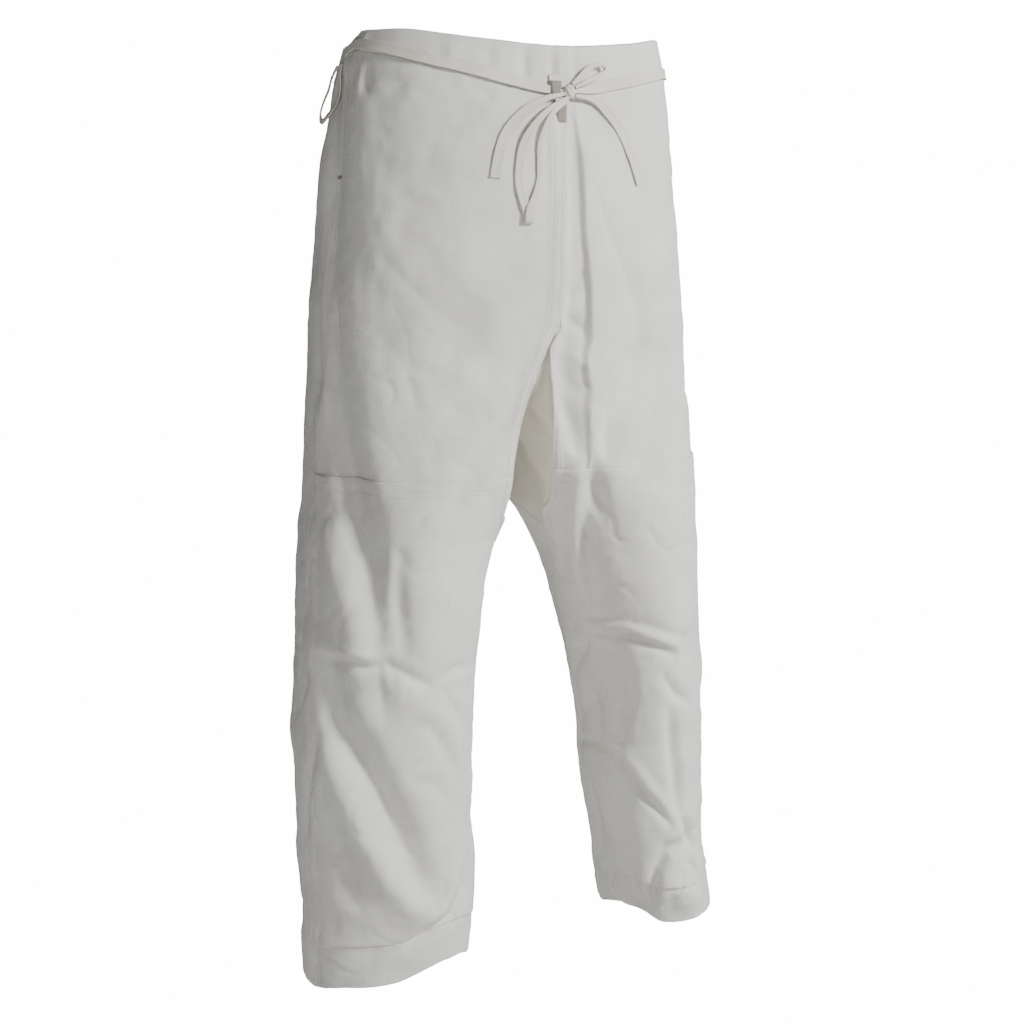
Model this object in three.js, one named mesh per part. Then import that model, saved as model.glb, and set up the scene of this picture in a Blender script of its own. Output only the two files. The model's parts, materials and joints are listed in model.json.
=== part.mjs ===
// Judo trousers in plain cotton, filled out as if worn, with the drawstring tied in a bow.
// Millimetres, +Z up, front towards -Y, wearer's left towards +X.
// The origin is the centre of the waist at half the height of the waistband.
import * as THREE from 'three';
import { mergeVertices } from 'three/addons/utils/BufferGeometryUtils.js';

// Overall sizes
const RIM_Z = 20;            // top edge of the waistband at the back
const HEM_Z = -940;          // bottom edge of the legs before the hems are tilted
const CLOTH = 1.6;           // one layer of heavy cotton
const BAND_IN = 3.0;         // the casing's inner layers, behind the panels' outer face
const BAND_OUT = 0.8;        // the casing's outer layer, proud of the panels
const HEM_HEIGHT = 43;       // depth of the turned-up hem
const HEM_CLOTH = 3.0;       // the hem's layers together
const PATCH_GAP = 0.4;       // between a panel and the knee patch that lies on it
const PATCH_CLOTH = 1.2;
const PATCH_TOP = -409;      // top seam of the knee patches
const SEAM_GAP = 0.3;        // between pieces that are sewn edge to edge
const GUSSET_FRONT = -258;   // front tip of the crotch gusset
const GUSSET_BACK = -258;    // back tip of it
const GUSSET_SIDE = -486;    // its two side tips, where the inseams begin
const TAPE_WIDE = 11;        // flat cotton tape of the drawstring
const TAPE_THICK = 1.6;

const RIGHT = -1;            // the wearer's right leg, on the -X side
const LEFT = 1;

// Rings of each half, from the waist to the hem. From 'outer' to 'inner' is the ring's width,
// measured from the middle plane; 'front' and 'back' are its depths from 'cy'; 'turn' is in degrees
// about the ring's middle, the same way on both sides when mirrored; 'power' is the
// superellipse's exponent. Above the crotch the ring is the whole hip, of which each half uses its side.
const RING_COLUMNS = ['z', 'outer', 'inner', 'front', 'back', 'cy', 'turn', 'power'];
const RINGS = {
  [RIGHT]: [
    [20, 170, -170, 112, 108, 0, 0, 2.1],
    [-20, 182, -182, 115, 112, 0, 0, 2.1],
    [-100, 195, -195, 122, 126, 0, 0, 2.1],
    [-200, 202, -202, 124, 142, 2, 0, 2.1],
    [-290, 208, -208, 118, 148, 6, 0, 2.1],
    [-380, 212, -70, 119, 138, 9, 0, 2.1],
    [-480, 224, 26, 117, 123, 4, 3, 2.0],
    [-560, 234, 44, 109, 113, 0, 7, 2.0],
    [-650, 240, 51, 97, 99, 0, 11, 2.0],
    [-760, 240, 54, 84, 84, 0, 15, 2.0],
    [-860, 236, 50, 69, 70, 0, 18, 2.0],
    [-940, 233, 55, 61, 63, 0, 18, 2.0],
  ],
  [LEFT]: [
    [20, 165, -165, 112, 108, 0, 0, 2.1],
    [-20, 175, -175, 115, 112, 0, 0, 2.1],
    [-100, 184, -184, 122, 126, 0, 0, 2.1],
    [-200, 196, -196, 124, 142, 2, 0, 2.1],
    [-290, 210, -210, 118, 148, 6, 0, 2.1],
    [-380, 215, -70, 119, 138, 9, 0, 2.1],
    [-480, 218, 34, 123, 129, 4, -8, 2.0],
    [-560, 224, 69, 124, 129, 0, -14, 2.0],
    [-650, 232, 91, 118, 120, 0, -18, 2.0],
    [-760, 240, 105, 107, 107, 0, -20, 2.0],
    [-860, 245, 119, 97, 99, 0, -18, 2.0],
    [-940, 256, 133, 88, 90, 0, -12, 2.0],
  ],
};

// How far the rim is lifted at each angle: it dips at the front and beside the right side slit.
const RIM_LIFT = {
  [RIGHT]: [[0, 0], [90, -14], [120, -8], [150, 0], [168, 0], [179, -10], [190, -15], [215, -6],
    [270, 0], [360, 0]],
  [LEFT]: [[0, 0], [90, -14], [120, -8], [150, 0], [180, 0], [270, 0], [360, 0]],
};
// How far the hem is lifted at each angle.
const HEM_LIFT = {
  [RIGHT]: [[0, 0], [12, 3], [36, 11], [50, 11], [62, 8], [74, 2], [86, -4], [100, -7], [120, -9],
    [136, -13], [150, -17], [162, -14], [180, -8], [220, -3], [280, 0], [360, 0]],
  [LEFT]: [[0, 2], [12, 9], [30, 17], [44, 18], [60, 11], [74, 6], [120, 6], [170, 3], [220, 0],
    [300, 0], [360, 2]],
};
// Lower edge of the waistband: the casing is rolled over towards the right side slit.
const BAND_EDGE = {
  [RIGHT]: [[90, -28], [96, -27], [119, -15], [138, -10], [156, -3], [180, 3], [190, -8], [205, -20],
    [270, -20]],
  [LEFT]: [[90, -28], [104, -24], [125, -20], [155, -18], [180, -19], [270, -20]],
};
// Half width of the gusset's edges from the middle plane, down to its side tips.
const GUSSET_HALF_FRONT = {
  [RIGHT]: [[-470, 44], [-451, 46], [-403, 46], [-361, 41], [-322, 29], [-290, 15], [-258, 0]],
  [LEFT]: [[-470, 34], [-451, 27], [-403, 14], [-361, 8], [-290, 4], [-258, 0]],
};
const GUSSET_HALF_BACK = [[-470, 34], [-451, 28], [-403, 17], [-361, 11], [-290, 5], [-258, 0]];
const TIP_ANGLE = 22;        // where a side tip lies on its leg
// Angle of the inseam and of the side seam down the leg.
const INSEAM = [[-620, 0], [-568, 6], [-502, 19], [-486, TIP_ANGLE]];
const SIDE_SEAM = {
  [RIGHT]: [[-940, 152], [-800, 152], [-700, 155], [-580, 162], [-480, 172], [-400, 178], [-20, 180]],
  [LEFT]: [[-940, 180], [-20, 180]],
};

// The largest folds. Each path is [angle, height] from its upper end; 'height' is how far the cloth
// stands out (or in, below zero); 'before' and 'after' are its widths on the lower and higher angle.
const FOLDS = [
  { name: 'hip side valley', side: RIGHT, height: -8, before: 9, after: 13,
    path: [[180, -1], [169, -55], [165, -112], [164, -169], [166, -217], [170, -253]] },
  { name: 'bow pull near', side: RIGHT, height: -4, before: 8, after: 8,
    path: [[117, -19], [114, -28], [110, -34]] },
  { name: 'thigh edge strip', side: RIGHT, height: -5, before: 8, after: 8,
    path: [[180, -280], [179, -307], [176, -337]] },
  { name: 'thigh edge ridge', side: RIGHT, height: 5, before: 8, after: 8,
    path: [[170, -274], [171, -313], [175, -364], [176, -403]] },
  { name: 'thigh long trough', side: RIGHT, height: -11, before: 10, after: 12,
    path: [[157, -262], [154, -304], [153, -349], [146, -394], [134, -466], [124, -511], [112, -556],
      [108, -580]] },
  { name: 'thigh inner diagonal', side: RIGHT, height: -4, before: 9, after: 9,
    path: [[94, -337], [92, -370], [96, -394], [94, -427]] },
  { name: 'above knee bright ridge', side: RIGHT, height: 7, before: 11, after: 11,
    path: [[165, -451], [154, -490], [142, -523], [130, -553], [120, -574]] },
  { name: 'above knee trough', side: RIGHT, height: -6, before: 8, after: 8,
    path: [[114, -490], [108, -523], [100, -553], [95, -580]] },
  { name: 'knee crease', side: RIGHT, height: -5, before: 8, after: 8,
    path: [[152, -586], [128, -586], [106, -589]] },
  { name: 'below knee short', side: RIGHT, height: -5, before: 8, after: 8,
    path: [[111, -592], [106, -622], [102, -649]] },
  { name: 'shin diagonal trough', side: RIGHT, height: -13, before: 12, after: 9,
    path: [[143, -595], [132, -643], [118, -682], [100, -730], [84, -781], [74, -826], [68, -847]] },
  { name: 'shin diagonal ridge', side: RIGHT, height: 6, before: 10, after: 10,
    path: [[142, -661], [132, -700], [118, -742], [101, -799], [84, -847], [58, -886]] },
  { name: 'shin outer dark', side: RIGHT, height: -6, before: 8, after: 8,
    path: [[130, -769], [122, -799], [116, -841]] },
  { name: 'hem pull crease', side: RIGHT, height: -6, before: 8, after: 8,
    path: [[28, -826], [34, -862], [46, -886], [66, -892], [82, -898]] },
  { name: 'hem corner', side: RIGHT, height: -6, before: 8, after: 8,
    path: [[155, -907], [154, -922], [149, -937]] },
  { name: 'hem fan', side: RIGHT, height: 3, before: 8, after: 8,
    path: [[83, -898], [96, -913], [111, -934]] },
  { name: 'front sharp ridge', side: LEFT, height: 7, before: 20, after: 8,
    path: [[94, -61], [95, -115], [97, -181], [98, -229], [100, -277], [94, -325], [79, -373],
      [71, -400]] },
  { name: 'inner thigh trough', side: LEFT, height: -8, before: 8, after: 8,
    path: [[92, -268], [90, -316], [79, -355], [70, -382]] },
  { name: 'outer thigh dark', side: LEFT, height: -4.5, before: 8, after: 8,
    path: [[117, -247], [119, -286], [111, -328], [96, -358], [84, -385]] },
  { name: 'mid thigh short dark', side: LEFT, height: -5, before: 8, after: 8,
    path: [[98, -343], [88, -370], [80, -397]] },
  { name: 'patch top dark', side: LEFT, height: -7, before: 8, after: 8,
    path: [[72, -406], [66, -433], [61, -460]] },
  { name: 'inner shin ridge', side: LEFT, height: 5, before: 10, after: 8,
    path: [[68, -406], [55, -442], [44, -475], [38, -517], [38, -562]] },
  { name: 'below knee dark patch', side: LEFT, height: -3.5, before: 9, after: 8,
    path: [[38, -634], [33, -679], [38, -721]] },
  { name: 'shin diagonal crease', side: LEFT, height: -5.5, before: 8, after: 8,
    path: [[5, -739], [34, -733], [49, -736], [56, -751], [68, -769], [81, -787], [98, -814]] },
  { name: 'outer shin dark', side: LEFT, height: -6, before: 8, after: 8,
    path: [[102, -682], [106, -736], [108, -793]] },
  { name: 'ankle hook', side: LEFT, height: -5.5, before: 8, after: 8,
    path: [[110, -805], [120, -832], [128, -853]] },
  { name: 'ankle shadow', side: LEFT, height: -7, before: 8, after: 8,
    path: [[117, -841], [93, -847], [78, -871], [62, -922]] },
  { name: 'hem bulge', side: LEFT, height: 6, before: 13, after: 12,
    path: [[89, -901], [102, -907], [122, -907]] },
  { name: 'hem inner hollow', side: LEFT, height: -6, before: 8, after: 8,
    path: [[48, -913], [52, -925], [55, -937]] },
  { name: 'inner shin patch', side: LEFT, height: -3.5, before: 8, after: 8,
    path: [[18, -793], [20, -829], [20, -874]] },
  { name: 'seat drape right', side: RIGHT, height: -7, before: 12, after: 10,
    path: [[228, -60], [224, -150], [226, -240], [234, -330]] },
  { name: 'seat drape left', side: LEFT, height: -7, before: 11, after: 12,
    path: [[222, -70], [228, -160], [226, -250], [232, -350]] },
  { name: 'seat sag right', side: RIGHT, height: -6, before: 8, after: 9,
    path: [[246, -300], [262, -350], [290, -385]] },
  { name: 'seat sag left', side: LEFT, height: -6, before: 9, after: 8,
    path: [[248, -310], [266, -352], [292, -380]] },
  { name: 'back thigh trough right', side: RIGHT, height: -9, before: 11, after: 11,
    path: [[262, -390], [256, -460], [262, -530], [258, -590]] },
  { name: 'back thigh trough left', side: LEFT, height: -8, before: 11, after: 10,
    path: [[258, -380], [264, -450], [258, -520], [264, -585]] },
  { name: 'back knee crease right', side: RIGHT, height: -5, before: 9, after: 9,
    path: [[212, -598], [240, -606], [275, -600], [305, -610]] },
  { name: 'back knee crease left', side: LEFT, height: -5, before: 9, after: 9,
    path: [[215, -596], [245, -604], [280, -610], [310, -600]] },
  { name: 'calf trough right', side: RIGHT, height: -9, before: 11, after: 9,
    path: [[300, -630], [284, -700], [262, -770], [246, -850]] },
  { name: 'calf trough left', side: LEFT, height: -8, before: 10, after: 10,
    path: [[236, -625], [250, -700], [272, -775], [284, -860]] },
  { name: 'calf ridge right', side: RIGHT, height: 5, before: 9, after: 9,
    path: [[232, -640], [224, -720], [214, -800], [206, -880]] },
  { name: 'outer leg trough left', side: LEFT, height: -6, before: 9, after: 9,
    path: [[196, -430], [190, -520], [198, -610], [190, -700]] },
];

const degrees = (angle) => angle * Math.PI / 180;
const clamp = (t) => Math.min(1, Math.max(0, t));
const smooth = (t) => clamp(t) ** 2 * (3 - 2 * clamp(t));

// Monotone cubic through the points of a table of rows, whose first column rises.
function makeCurve(rows, column = 1) {
  const xs = rows.map((row) => row[0]);
  const ys = rows.map((row) => row[column]);
  const n = xs.length;
  const h = xs.slice(1).map((x, i) => x - xs[i]);
  const d = h.map((step, i) => (ys[i + 1] - ys[i]) / step);
  const m = ys.map((y, i) => {
    if (i === 0) return d[0];
    if (i === n - 1) return d[n - 2];
    if (d[i - 1] * d[i] <= 0) return 0;
    const w1 = 2 * h[i] + h[i - 1];
    const w2 = h[i] + 2 * h[i - 1];
    return (w1 + w2) / (w1 / d[i - 1] + w2 / d[i]);
  });
  return (value) => {
    const x = Math.min(xs[n - 1], Math.max(xs[0], value));
    let k = 0;
    while (k < n - 2 && x >= xs[k + 1]) k += 1;
    const t = (x - xs[k]) / h[k];
    const s = 1 - t;
    return (1 + 2 * t) * s * s * ys[k] + t * s * s * h[k] * m[k]
      + t * t * (3 - 2 * t) * ys[k + 1] - t * t * s * h[k] * m[k + 1];
  };
}

// Above this height a ring is the whole hip, even on both sides of the middle plane.
const HIP_END = -290;
const bySide = (make) => ({ [RIGHT]: make(RIGHT), [LEFT]: make(LEFT) });
const ringCurves = bySide((side) => Object.fromEntries(RING_COLUMNS.map(
  (name, i) => [name, makeCurve([...RINGS[side]].reverse(), i)])));
for (const side of [RIGHT, LEFT]) {
  const { inner, outer } = ringCurves[side];
  ringCurves[side].inner = (z) => (z >= HIP_END ? -outer(z) : inner(z));
}
const rimLift = bySide((side) => makeCurve(RIM_LIFT[side]));
const hemLift = bySide((side) => makeCurve(HEM_LIFT[side]));
const bandEdge = bySide((side) => makeCurve(BAND_EDGE[side]));
const sideSeam = bySide((side) => makeCurve(SIDE_SEAM[side]));
const halfFront = bySide((side) => makeCurve(GUSSET_HALF_FRONT[side]));
const halfBack = makeCurve(GUSSET_HALF_BACK);
const inseam = makeCurve(INSEAM);

const signedPower = (value, power) => Math.sign(value) * Math.abs(value) ** power;

// Point of the unfolded cloth. The angle is 0 at the inseam, 90 at the front, 180 at the outer side
// and 270 at the back; z is the height before the rim and the hem are lifted.
function basePoint(side, angle, z) {
  const c = ringCurves[side];
  const outer = c.outer(z);
  const inner = c.inner(z);
  const half = (outer - inner) / 2;
  const k = 2 / c.power(z);
  const across = -half * signedPower(Math.cos(degrees(angle)), k);
  const s = signedPower(Math.sin(degrees(angle)), k);
  const along = s > 0 ? -c.front(z) * s : -c.back(z) * s;
  const turn = degrees(c.turn(z));
  const x = (outer + inner) / 2 + across * Math.cos(turn) - along * Math.sin(turn);
  const y = c.cy(z) + across * Math.sin(turn) + along * Math.cos(turn);
  const wrapped = ((angle % 360) + 360) % 360;
  const lift = rimLift[side](wrapped) * smooth((z + 220) / 240)
    + hemLift[side](wrapped) * clamp((-500 - z) / 440) ** 2;
  return new THREE.Vector3(side * x, y, z + lift);
}

// Outward direction of the unfolded cloth.
function outward(side, angle, z) {
  const e = 0.5;
  const round = basePoint(side, angle + e, z).sub(basePoint(side, angle - e, z));
  const rise = basePoint(side, angle, z + 1).sub(basePoint(side, angle, z - 1));
  return round.cross(rise).multiplyScalar(side).normalize();
}

// Millimetres of cloth in one degree of the ring at this height.
function perDegree(side, z) {
  const c = ringCurves[side];
  return degrees(1) * ((c.outer(z) - c.inner(z)) / 2 + (c.front(z) + c.back(z)) / 2) / 2;
}

// Angle, from the inseam, at which a ring is this far from the middle plane.
function angleAt(side, z, distance) {
  const c = ringCurves[side];
  const half = (c.outer(z) - c.inner(z)) / 2;
  const middle = (c.outer(z) + c.inner(z)) / 2;
  const share = Math.min(1, (middle - distance) / half);
  return Math.acos(signedPower(share, c.power(z) / 2)) * 180 / Math.PI;
}

// Inner edges of the front and back panels.
function frontEdge(side, z) {
  if (z >= GUSSET_FRONT) return 90;
  if (z > GUSSET_SIDE) {
    const t = clamp((-450 - z) / (-450 - GUSSET_SIDE));
    return angleAt(side, z, halfFront[side](z)) * (1 - t) + TIP_ANGLE * t;
  }
  return inseam(z);
}
function backEdge(side, z) {
  if (z >= GUSSET_BACK) return 270;
  if (z > GUSSET_SIDE) {
    const t = clamp((-420 - z) / (-420 - GUSSET_SIDE));
    return (360 - angleAt(side, z, halfBack(z))) * (1 - t) + (360 + TIP_ANGLE) * t;
  }
  return 360 + inseam(z);
}

// Height of one fold at a point: across its path it falls off as a bell, and it fades at both ends.
function foldHeight(fold, side, angle, z) {
  const scale = perDegree(side, z);
  let best = Infinity;
  let height = 0;
  const path = fold.path;
  const turns = Math.round((path[0][0] - angle) / 360) * 360;
  const reach = 3.2 * Math.max(fold.before, fold.after);
  for (let i = 0; i + 1 < path.length; i += 1) {
    const [a0, z0] = path[i];
    const [a1, z1] = path[i + 1];
    const u0 = (a0 - angle - turns) * scale;
    const u1 = (a1 - angle - turns) * scale;
    const du = u1 - u0;
    const dz = z1 - z0;
    const t = clamp(-(u0 * du + (z0 - z) * dz) / (du * du + dz * dz));
    const pu = u0 + t * du;
    const pz = z0 - z + t * dz;
    const distance = Math.hypot(pu, pz);
    if (distance < best) {
      best = distance;
      const turned = du * -pz + dz * pu;
      const width = turned > 0 ? fold.after : fold.before;
      const place = (i + t) / (path.length - 1);
      const fade = Math.sin(Math.PI * Math.min(1, Math.max(0, 0.08 + 0.84 * place))) ** 0.7;
      height = distance > reach ? 0
        : fold.height * fade * Math.exp(-((distance / width) ** 2) / 2);
    }
  }
  return height;
}

// All folds together, fading out towards the waistband, the middle seams and the gusset.
function folded(side, angle, z) {
  let height = 0;
  for (const fold of FOLDS) {
    if (fold.side === side) height += foldHeight(fold, side, angle, z);
  }
  const scale = perDegree(side, z);
  const wrapped = angle > 360 ? angle - 360 : angle;
  const underBand = smooth((bandEdge[side](Math.min(270, Math.max(90, angle))) - z) / 25);
  let edge = 1;
  if (z > GUSSET_SIDE) {
    const front = Math.abs(angle - frontEdge(side, z)) * scale;
    const back = Math.abs(backEdge(side, z) - angle) * scale;
    edge = smooth(Math.min(front, back) / 10);
  } else if (z > GUSSET_SIDE - 40) {
    const t = (GUSSET_SIDE - z) / 40;
    const near = Math.abs(wrapped > 180 ? wrapped - 360 - TIP_ANGLE : wrapped - TIP_ANGLE) * scale;
    edge = Math.max(smooth(near / 10), t);
  }
  return height * underBand * edge;
}

function clothPoint(side, angle, z) {
  const point = basePoint(side, angle, z);
  const out = outward(side, angle, z);
  out.z = 0;
  return point.addScaledVector(out.normalize(), folded(side, angle, z));
}

// Closed wall from a grid of points and outward directions: 'low' and 'high' are the two faces'
// distances from the points, as numbers or as a function of row and column.
function wall(points, outs, low, high, flip) {
  const rows = points.length;
  const columns = points[0].length;
  const positions = [];
  const at = (value, i, j) => (typeof value === 'function' ? value(i, j) : value);
  for (const face of [high, low]) {
    for (let i = 0; i < rows; i += 1) {
      for (let j = 0; j < columns; j += 1) {
        const p = points[i][j].clone().addScaledVector(outs[i][j], at(face, i, j));
        positions.push(p.x, p.y, p.z);
      }
    }
  }
  const index = [];
  const size = rows * columns;
  const quad = (a, b, c, d) => {
    if (flip) index.push(a, c, b, a, d, c);
    else index.push(a, b, c, a, c, d);
  };
  for (let i = 0; i + 1 < rows; i += 1) {
    for (let j = 0; j + 1 < columns; j += 1) {
      const a = i * columns + j;
      const b = a + columns;
      quad(a, b, b + 1, a + 1);
      quad(size + a, size + a + 1, size + b + 1, size + b);
    }
  }
  const border = [];
  for (let j = 0; j < columns - 1; j += 1) border.push(j);
  for (let i = 0; i < rows - 1; i += 1) border.push(i * columns + columns - 1);
  for (let j = columns - 1; j > 0; j -= 1) border.push((rows - 1) * columns + j);
  for (let i = rows - 1; i > 0; i -= 1) border.push(i * columns);
  border.forEach((a, k) => {
    const b = border[(k + 1) % border.length];
    quad(a, b, size + b, size + a);
  });
  const geometry = new THREE.BufferGeometry();
  geometry.setAttribute('position', new THREE.Float32BufferAttribute(positions, 3));
  geometry.setIndex(index);
  geometry.computeVertexNormals();
  return geometry;
}

const cotton = new THREE.MeshStandardMaterial({ color: 0xd9d8d2, roughness: 0.95, metalness: 0 });
const tapeCotton = new THREE.MeshStandardMaterial({ color: 0xdedbcd, roughness: 0.9, metalness: 0 });
const trousers = new THREE.Group();
function add(name, geometry, material = cotton) {
  const mesh = new THREE.Mesh(geometry, material);
  mesh.name = name;
  trousers.add(mesh);
}

const spread = (from, to, count) => Array.from({ length: count },
  (unused, i) => from + (to - from) * i / (count - 1));

// Heights of a panel's rows; the first rows hang from the waistband's edge.
const PANEL_ROWS = [-20, -60, -100, -145, -190, -225, -258, -290, -320, -350, -380, -409, -430, -450,
  -468, -486, -510, -540, -570, -592, -612, -640, -675, -710, -745, -780, -815, -845, -872, -895,
  -899, -920, -940];
const FRONT_COLUMNS = 16;
function rowHeight(side, row, angle) {
  if (row < -100) return row;
  const top = bandEdge[side](Math.min(270, Math.max(90, angle))) - SEAM_GAP;
  return -100 + (top + 100) * (row + 100) / 80;
}

// Columns of a back panel: seven steps to this angle and three more to its inner edge.
const backMiddle = makeCurve([[-620, 300], [-486, 300], [-440, 285], [-380, 262], [-258, 243]]);
function backAngles(from, to, z) {
  const middle = backMiddle(z);
  return [...spread(from, middle, 8), ...spread(middle, to, 4).slice(1)];
}

function panelGrid(side, rows, from, to, columns) {
  const points = [];
  const outs = [];
  for (const row of rows) {
    const inset = SEAM_GAP / 2 / perDegree(side, row);
    const angles = columns(from(row) + inset, to(row) - inset, row);
    points.push(angles.map((angle) => clothPoint(side, angle, rowHeight(side, row, angle))));
    outs.push(angles.map((angle) => outward(side, angle, rowHeight(side, row, angle))));
  }
  return { points, outs };
}

// Part of a panel's grid from one row to another, drawn in a little at its sides and its foot.
function patchGrid({ points, outs }, rows, top, bottom, sideTrim, footTrim) {
  const first = rows.indexOf(top);
  const last = rows.indexOf(bottom);
  const cut = (grid) => grid.slice(first, last + 1).map((row) => row.map((p) => p.clone()));
  const trimmed = cut(points);
  const towards = (p, q, distance) => p.addScaledVector(q.clone().sub(p).normalize(), distance);
  const foot = trimmed.length - 1;
  trimmed[foot].forEach((p, j) => towards(p, trimmed[foot - 1][j], footTrim));
  for (const row of trimmed) {
    towards(row[0], row[1], sideTrim);
    towards(row[row.length - 1], row[row.length - 2], sideTrim);
  }
  return { points: trimmed, outs: cut(outs) };
}

const inHem = (row) => row < HEM_Z + HEM_HEIGHT;
const layers = (i) => -(inHem(PANEL_ROWS[i]) ? HEM_CLOTH : CLOTH);
for (const [side, word] of [[RIGHT, 'right'], [LEFT, 'left']]) {
  const front = panelGrid(side, PANEL_ROWS, (z) => frontEdge(side, z), (z) => sideSeam[side](z),
    (from, to) => spread(from, to, FRONT_COLUMNS));
  const back = panelGrid(side, PANEL_ROWS, (z) => sideSeam[side](z), (z) => backEdge(side, z),
    backAngles);
  const patch = patchGrid(front, PANEL_ROWS, PATCH_TOP, -895, 1.2, 0.8);
  const flip = side === RIGHT;
  add(`front_${word}`, wall(front.points, front.outs, layers, 0, flip));
  add(`back_${word}`, wall(back.points, back.outs, layers, 0, flip));
  add(`knee_patch_${word}`, wall(patch.points, patch.outs, PATCH_GAP, PATCH_GAP + PATCH_CLOTH, flip));
}

// Waistband: one length across the front and one across the back, joined at the side slits.
function bandPoint(side, angle, t) {
  const edge = bandEdge[side](angle) + SEAM_GAP / 2;
  const z = RIM_Z + (edge - RIM_Z) * t;
  return [basePoint(side, angle, z), outward(side, angle, z)];
}
function band(name, halves) {
  const inset = SEAM_GAP / 2 / 3;
  const grid = [0, 0.5, 1].map((t) => halves.flatMap(([side, angles], half) => {
    const list = angles.map((angle) => bandPoint(side,
      Math.abs(angle - 180) < 1 ? angle + Math.sign(angles[5] - 180) * inset : angle, t));
    return half === 0 ? list : list.slice(1);
  }));
  const points = grid.map((row) => row.map(([point]) => point));
  const outs = grid.map((row) => row.map(([, out]) => out));
  add(name, wall(points, outs, -BAND_IN, BAND_OUT, false));
}
const frontAngles = spread(90, 180, FRONT_COLUMNS);
band('waistband_front', [[RIGHT, [...frontAngles].reverse()], [LEFT, frontAngles]]);
band('waistband_back', [[LEFT, backAngles(180, 270, 0)], [RIGHT, backAngles(180, 270, 0).reverse()]]);

// Crotch gusset: a diamond spanned between the four panel edges, low at its side tips.
// Its edges are sampled at the panels' rows, so that the seams fit.
const GUSSET_ROWS = PANEL_ROWS.filter((row) => row <= GUSSET_FRONT && row >= GUSSET_SIDE);
const GUSSET_STEPS = GUSSET_ROWS.length - 1;
function gussetHeight(s) {
  const i = Math.min(GUSSET_STEPS - 1, Math.floor(s * GUSSET_STEPS + 1e-9));
  return GUSSET_ROWS[i] + (GUSSET_ROWS[i + 1] - GUSSET_ROWS[i]) * (s * GUSSET_STEPS - i);
}
function gussetEdge(side, front, s) {
  const z = gussetHeight(s);
  return basePoint(side, (front ? frontEdge : backEdge)(side, z), z);
}
function gussetPoint(u, v) {
  const lerp = (a, b, t) => a.clone().lerp(b, t);
  const along = lerp(gussetEdge(RIGHT, true, u), gussetEdge(LEFT, false, 1 - u), v);
  const across = lerp(gussetEdge(LEFT, true, v), gussetEdge(RIGHT, false, 1 - v), u);
  const ends = lerp(
    lerp(gussetEdge(RIGHT, true, 0), gussetEdge(RIGHT, true, 1), u),
    lerp(gussetEdge(LEFT, true, 1), gussetEdge(LEFT, false, 0), u), v);
  return along.add(across).sub(ends);
}
function gusset() {
  const steps = spread(0, 1, GUSSET_STEPS + 1);
  const last = GUSSET_STEPS;
  const points = steps.map((u) => steps.map((v) => gussetPoint(u, v)));
  // Drawn tight between its edges: each inner point settles to the mean of its neighbours.
  for (let round = 0; round < 60; round += 1) {
    for (let i = 1; i < last; i += 1) {
      for (let j = 1; j < last; j += 1) {
        points[i][j] = points[i - 1][j].clone().add(points[i + 1][j]).add(points[i][j - 1])
          .add(points[i][j + 1]).multiplyScalar(0.25);
      }
    }
  }
  const outs = steps.map((u, i) => steps.map((v, j) => {
    const edgeOut = (side, front, s) => {
      const height = gussetHeight(s);
      return outward(side, (front ? frontEdge : backEdge)(side, height), height);
    };
    if (i === 0 && j === 0) return new THREE.Vector3(0, -1, 0);
    if (i === last && j === last) return new THREE.Vector3(0, 1, 0);
    if (i === last && j === 0) return edgeOut(RIGHT, true, 1);
    if (i === 0 && j === last) return edgeOut(LEFT, true, 1);
    if (j === 0) return edgeOut(RIGHT, true, u);
    if (i === 0) return edgeOut(LEFT, true, v);
    if (i === last) return edgeOut(RIGHT, false, 1 - v);
    if (j === last) return edgeOut(LEFT, false, 1 - u);
    const du = points[i + 1][j].clone().sub(points[i - 1][j]);
    const dv = points[i][j + 1].clone().sub(points[i][j - 1]);
    return du.cross(dv).normalize();
  }));
  // The edges are drawn in a little, so that the seams keep their gap.
  const inner = (i) => Math.min(last - 1, Math.max(1, i));
  const drawn = points.map((row, i) => row.map((point, j) => {
    if (i > 0 && i < last && j > 0 && j < last) return point;
    const target = points[inner(i)][inner(j)];
    const corner = (i === 0 || i === last) && (j === 0 || j === last);
    const pull = target.clone().sub(point);
    return point.clone().addScaledVector(pull.normalize(), corner ? 1.2 : SEAM_GAP);
  }));
  return wall(drawn, outs, -CLOTH, 0, false);
}
add('gusset', gusset());

// A flat strip along a path of [point, outward, width], with bevelled edges and square ends.
function strip(path, thickness) {
  const positions = [];
  const count = path.length;
  path.forEach(([point, out, width], i) => {
    const before = path[Math.max(0, i - 1)][0];
    const after = path[Math.min(count - 1, i + 1)][0];
    const along = after.clone().sub(before).normalize();
    const across = along.clone().cross(out).normalize();
    const up = across.clone().cross(along).normalize();
    const w = width / 2;
    const t = thickness / 2;
    const b = thickness / 3;
    for (const [a, c] of [[w, -t / 2], [w, t / 2], [w - b, t], [b - w, t], [-w, t / 2], [-w, -t / 2],
      [b - w, -t], [w - b, -t]]) {
      const p = point.clone().addScaledVector(across, a).addScaledVector(up, c);
      positions.push(p.x, p.y, p.z);
    }
  });
  const index = [];
  for (let i = 0; i + 1 < count; i += 1) {
    for (let k = 0; k < 8; k += 1) {
      const a = i * 8 + k;
      const b = i * 8 + (k + 1) % 8;
      index.push(a, b + 8, b, a, a + 8, b + 8);
    }
  }
  for (let k = 1; k < 7; k += 1) {
    const end = (count - 1) * 8;
    index.push(0, k, k + 1, end, end + k + 1, end + k);
  }
  const geometry = new THREE.BufferGeometry();
  geometry.setAttribute('position', new THREE.Float32BufferAttribute(positions, 3));
  geometry.setIndex(index);
  geometry.computeVertexNormals();
  return geometry;
}

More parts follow.
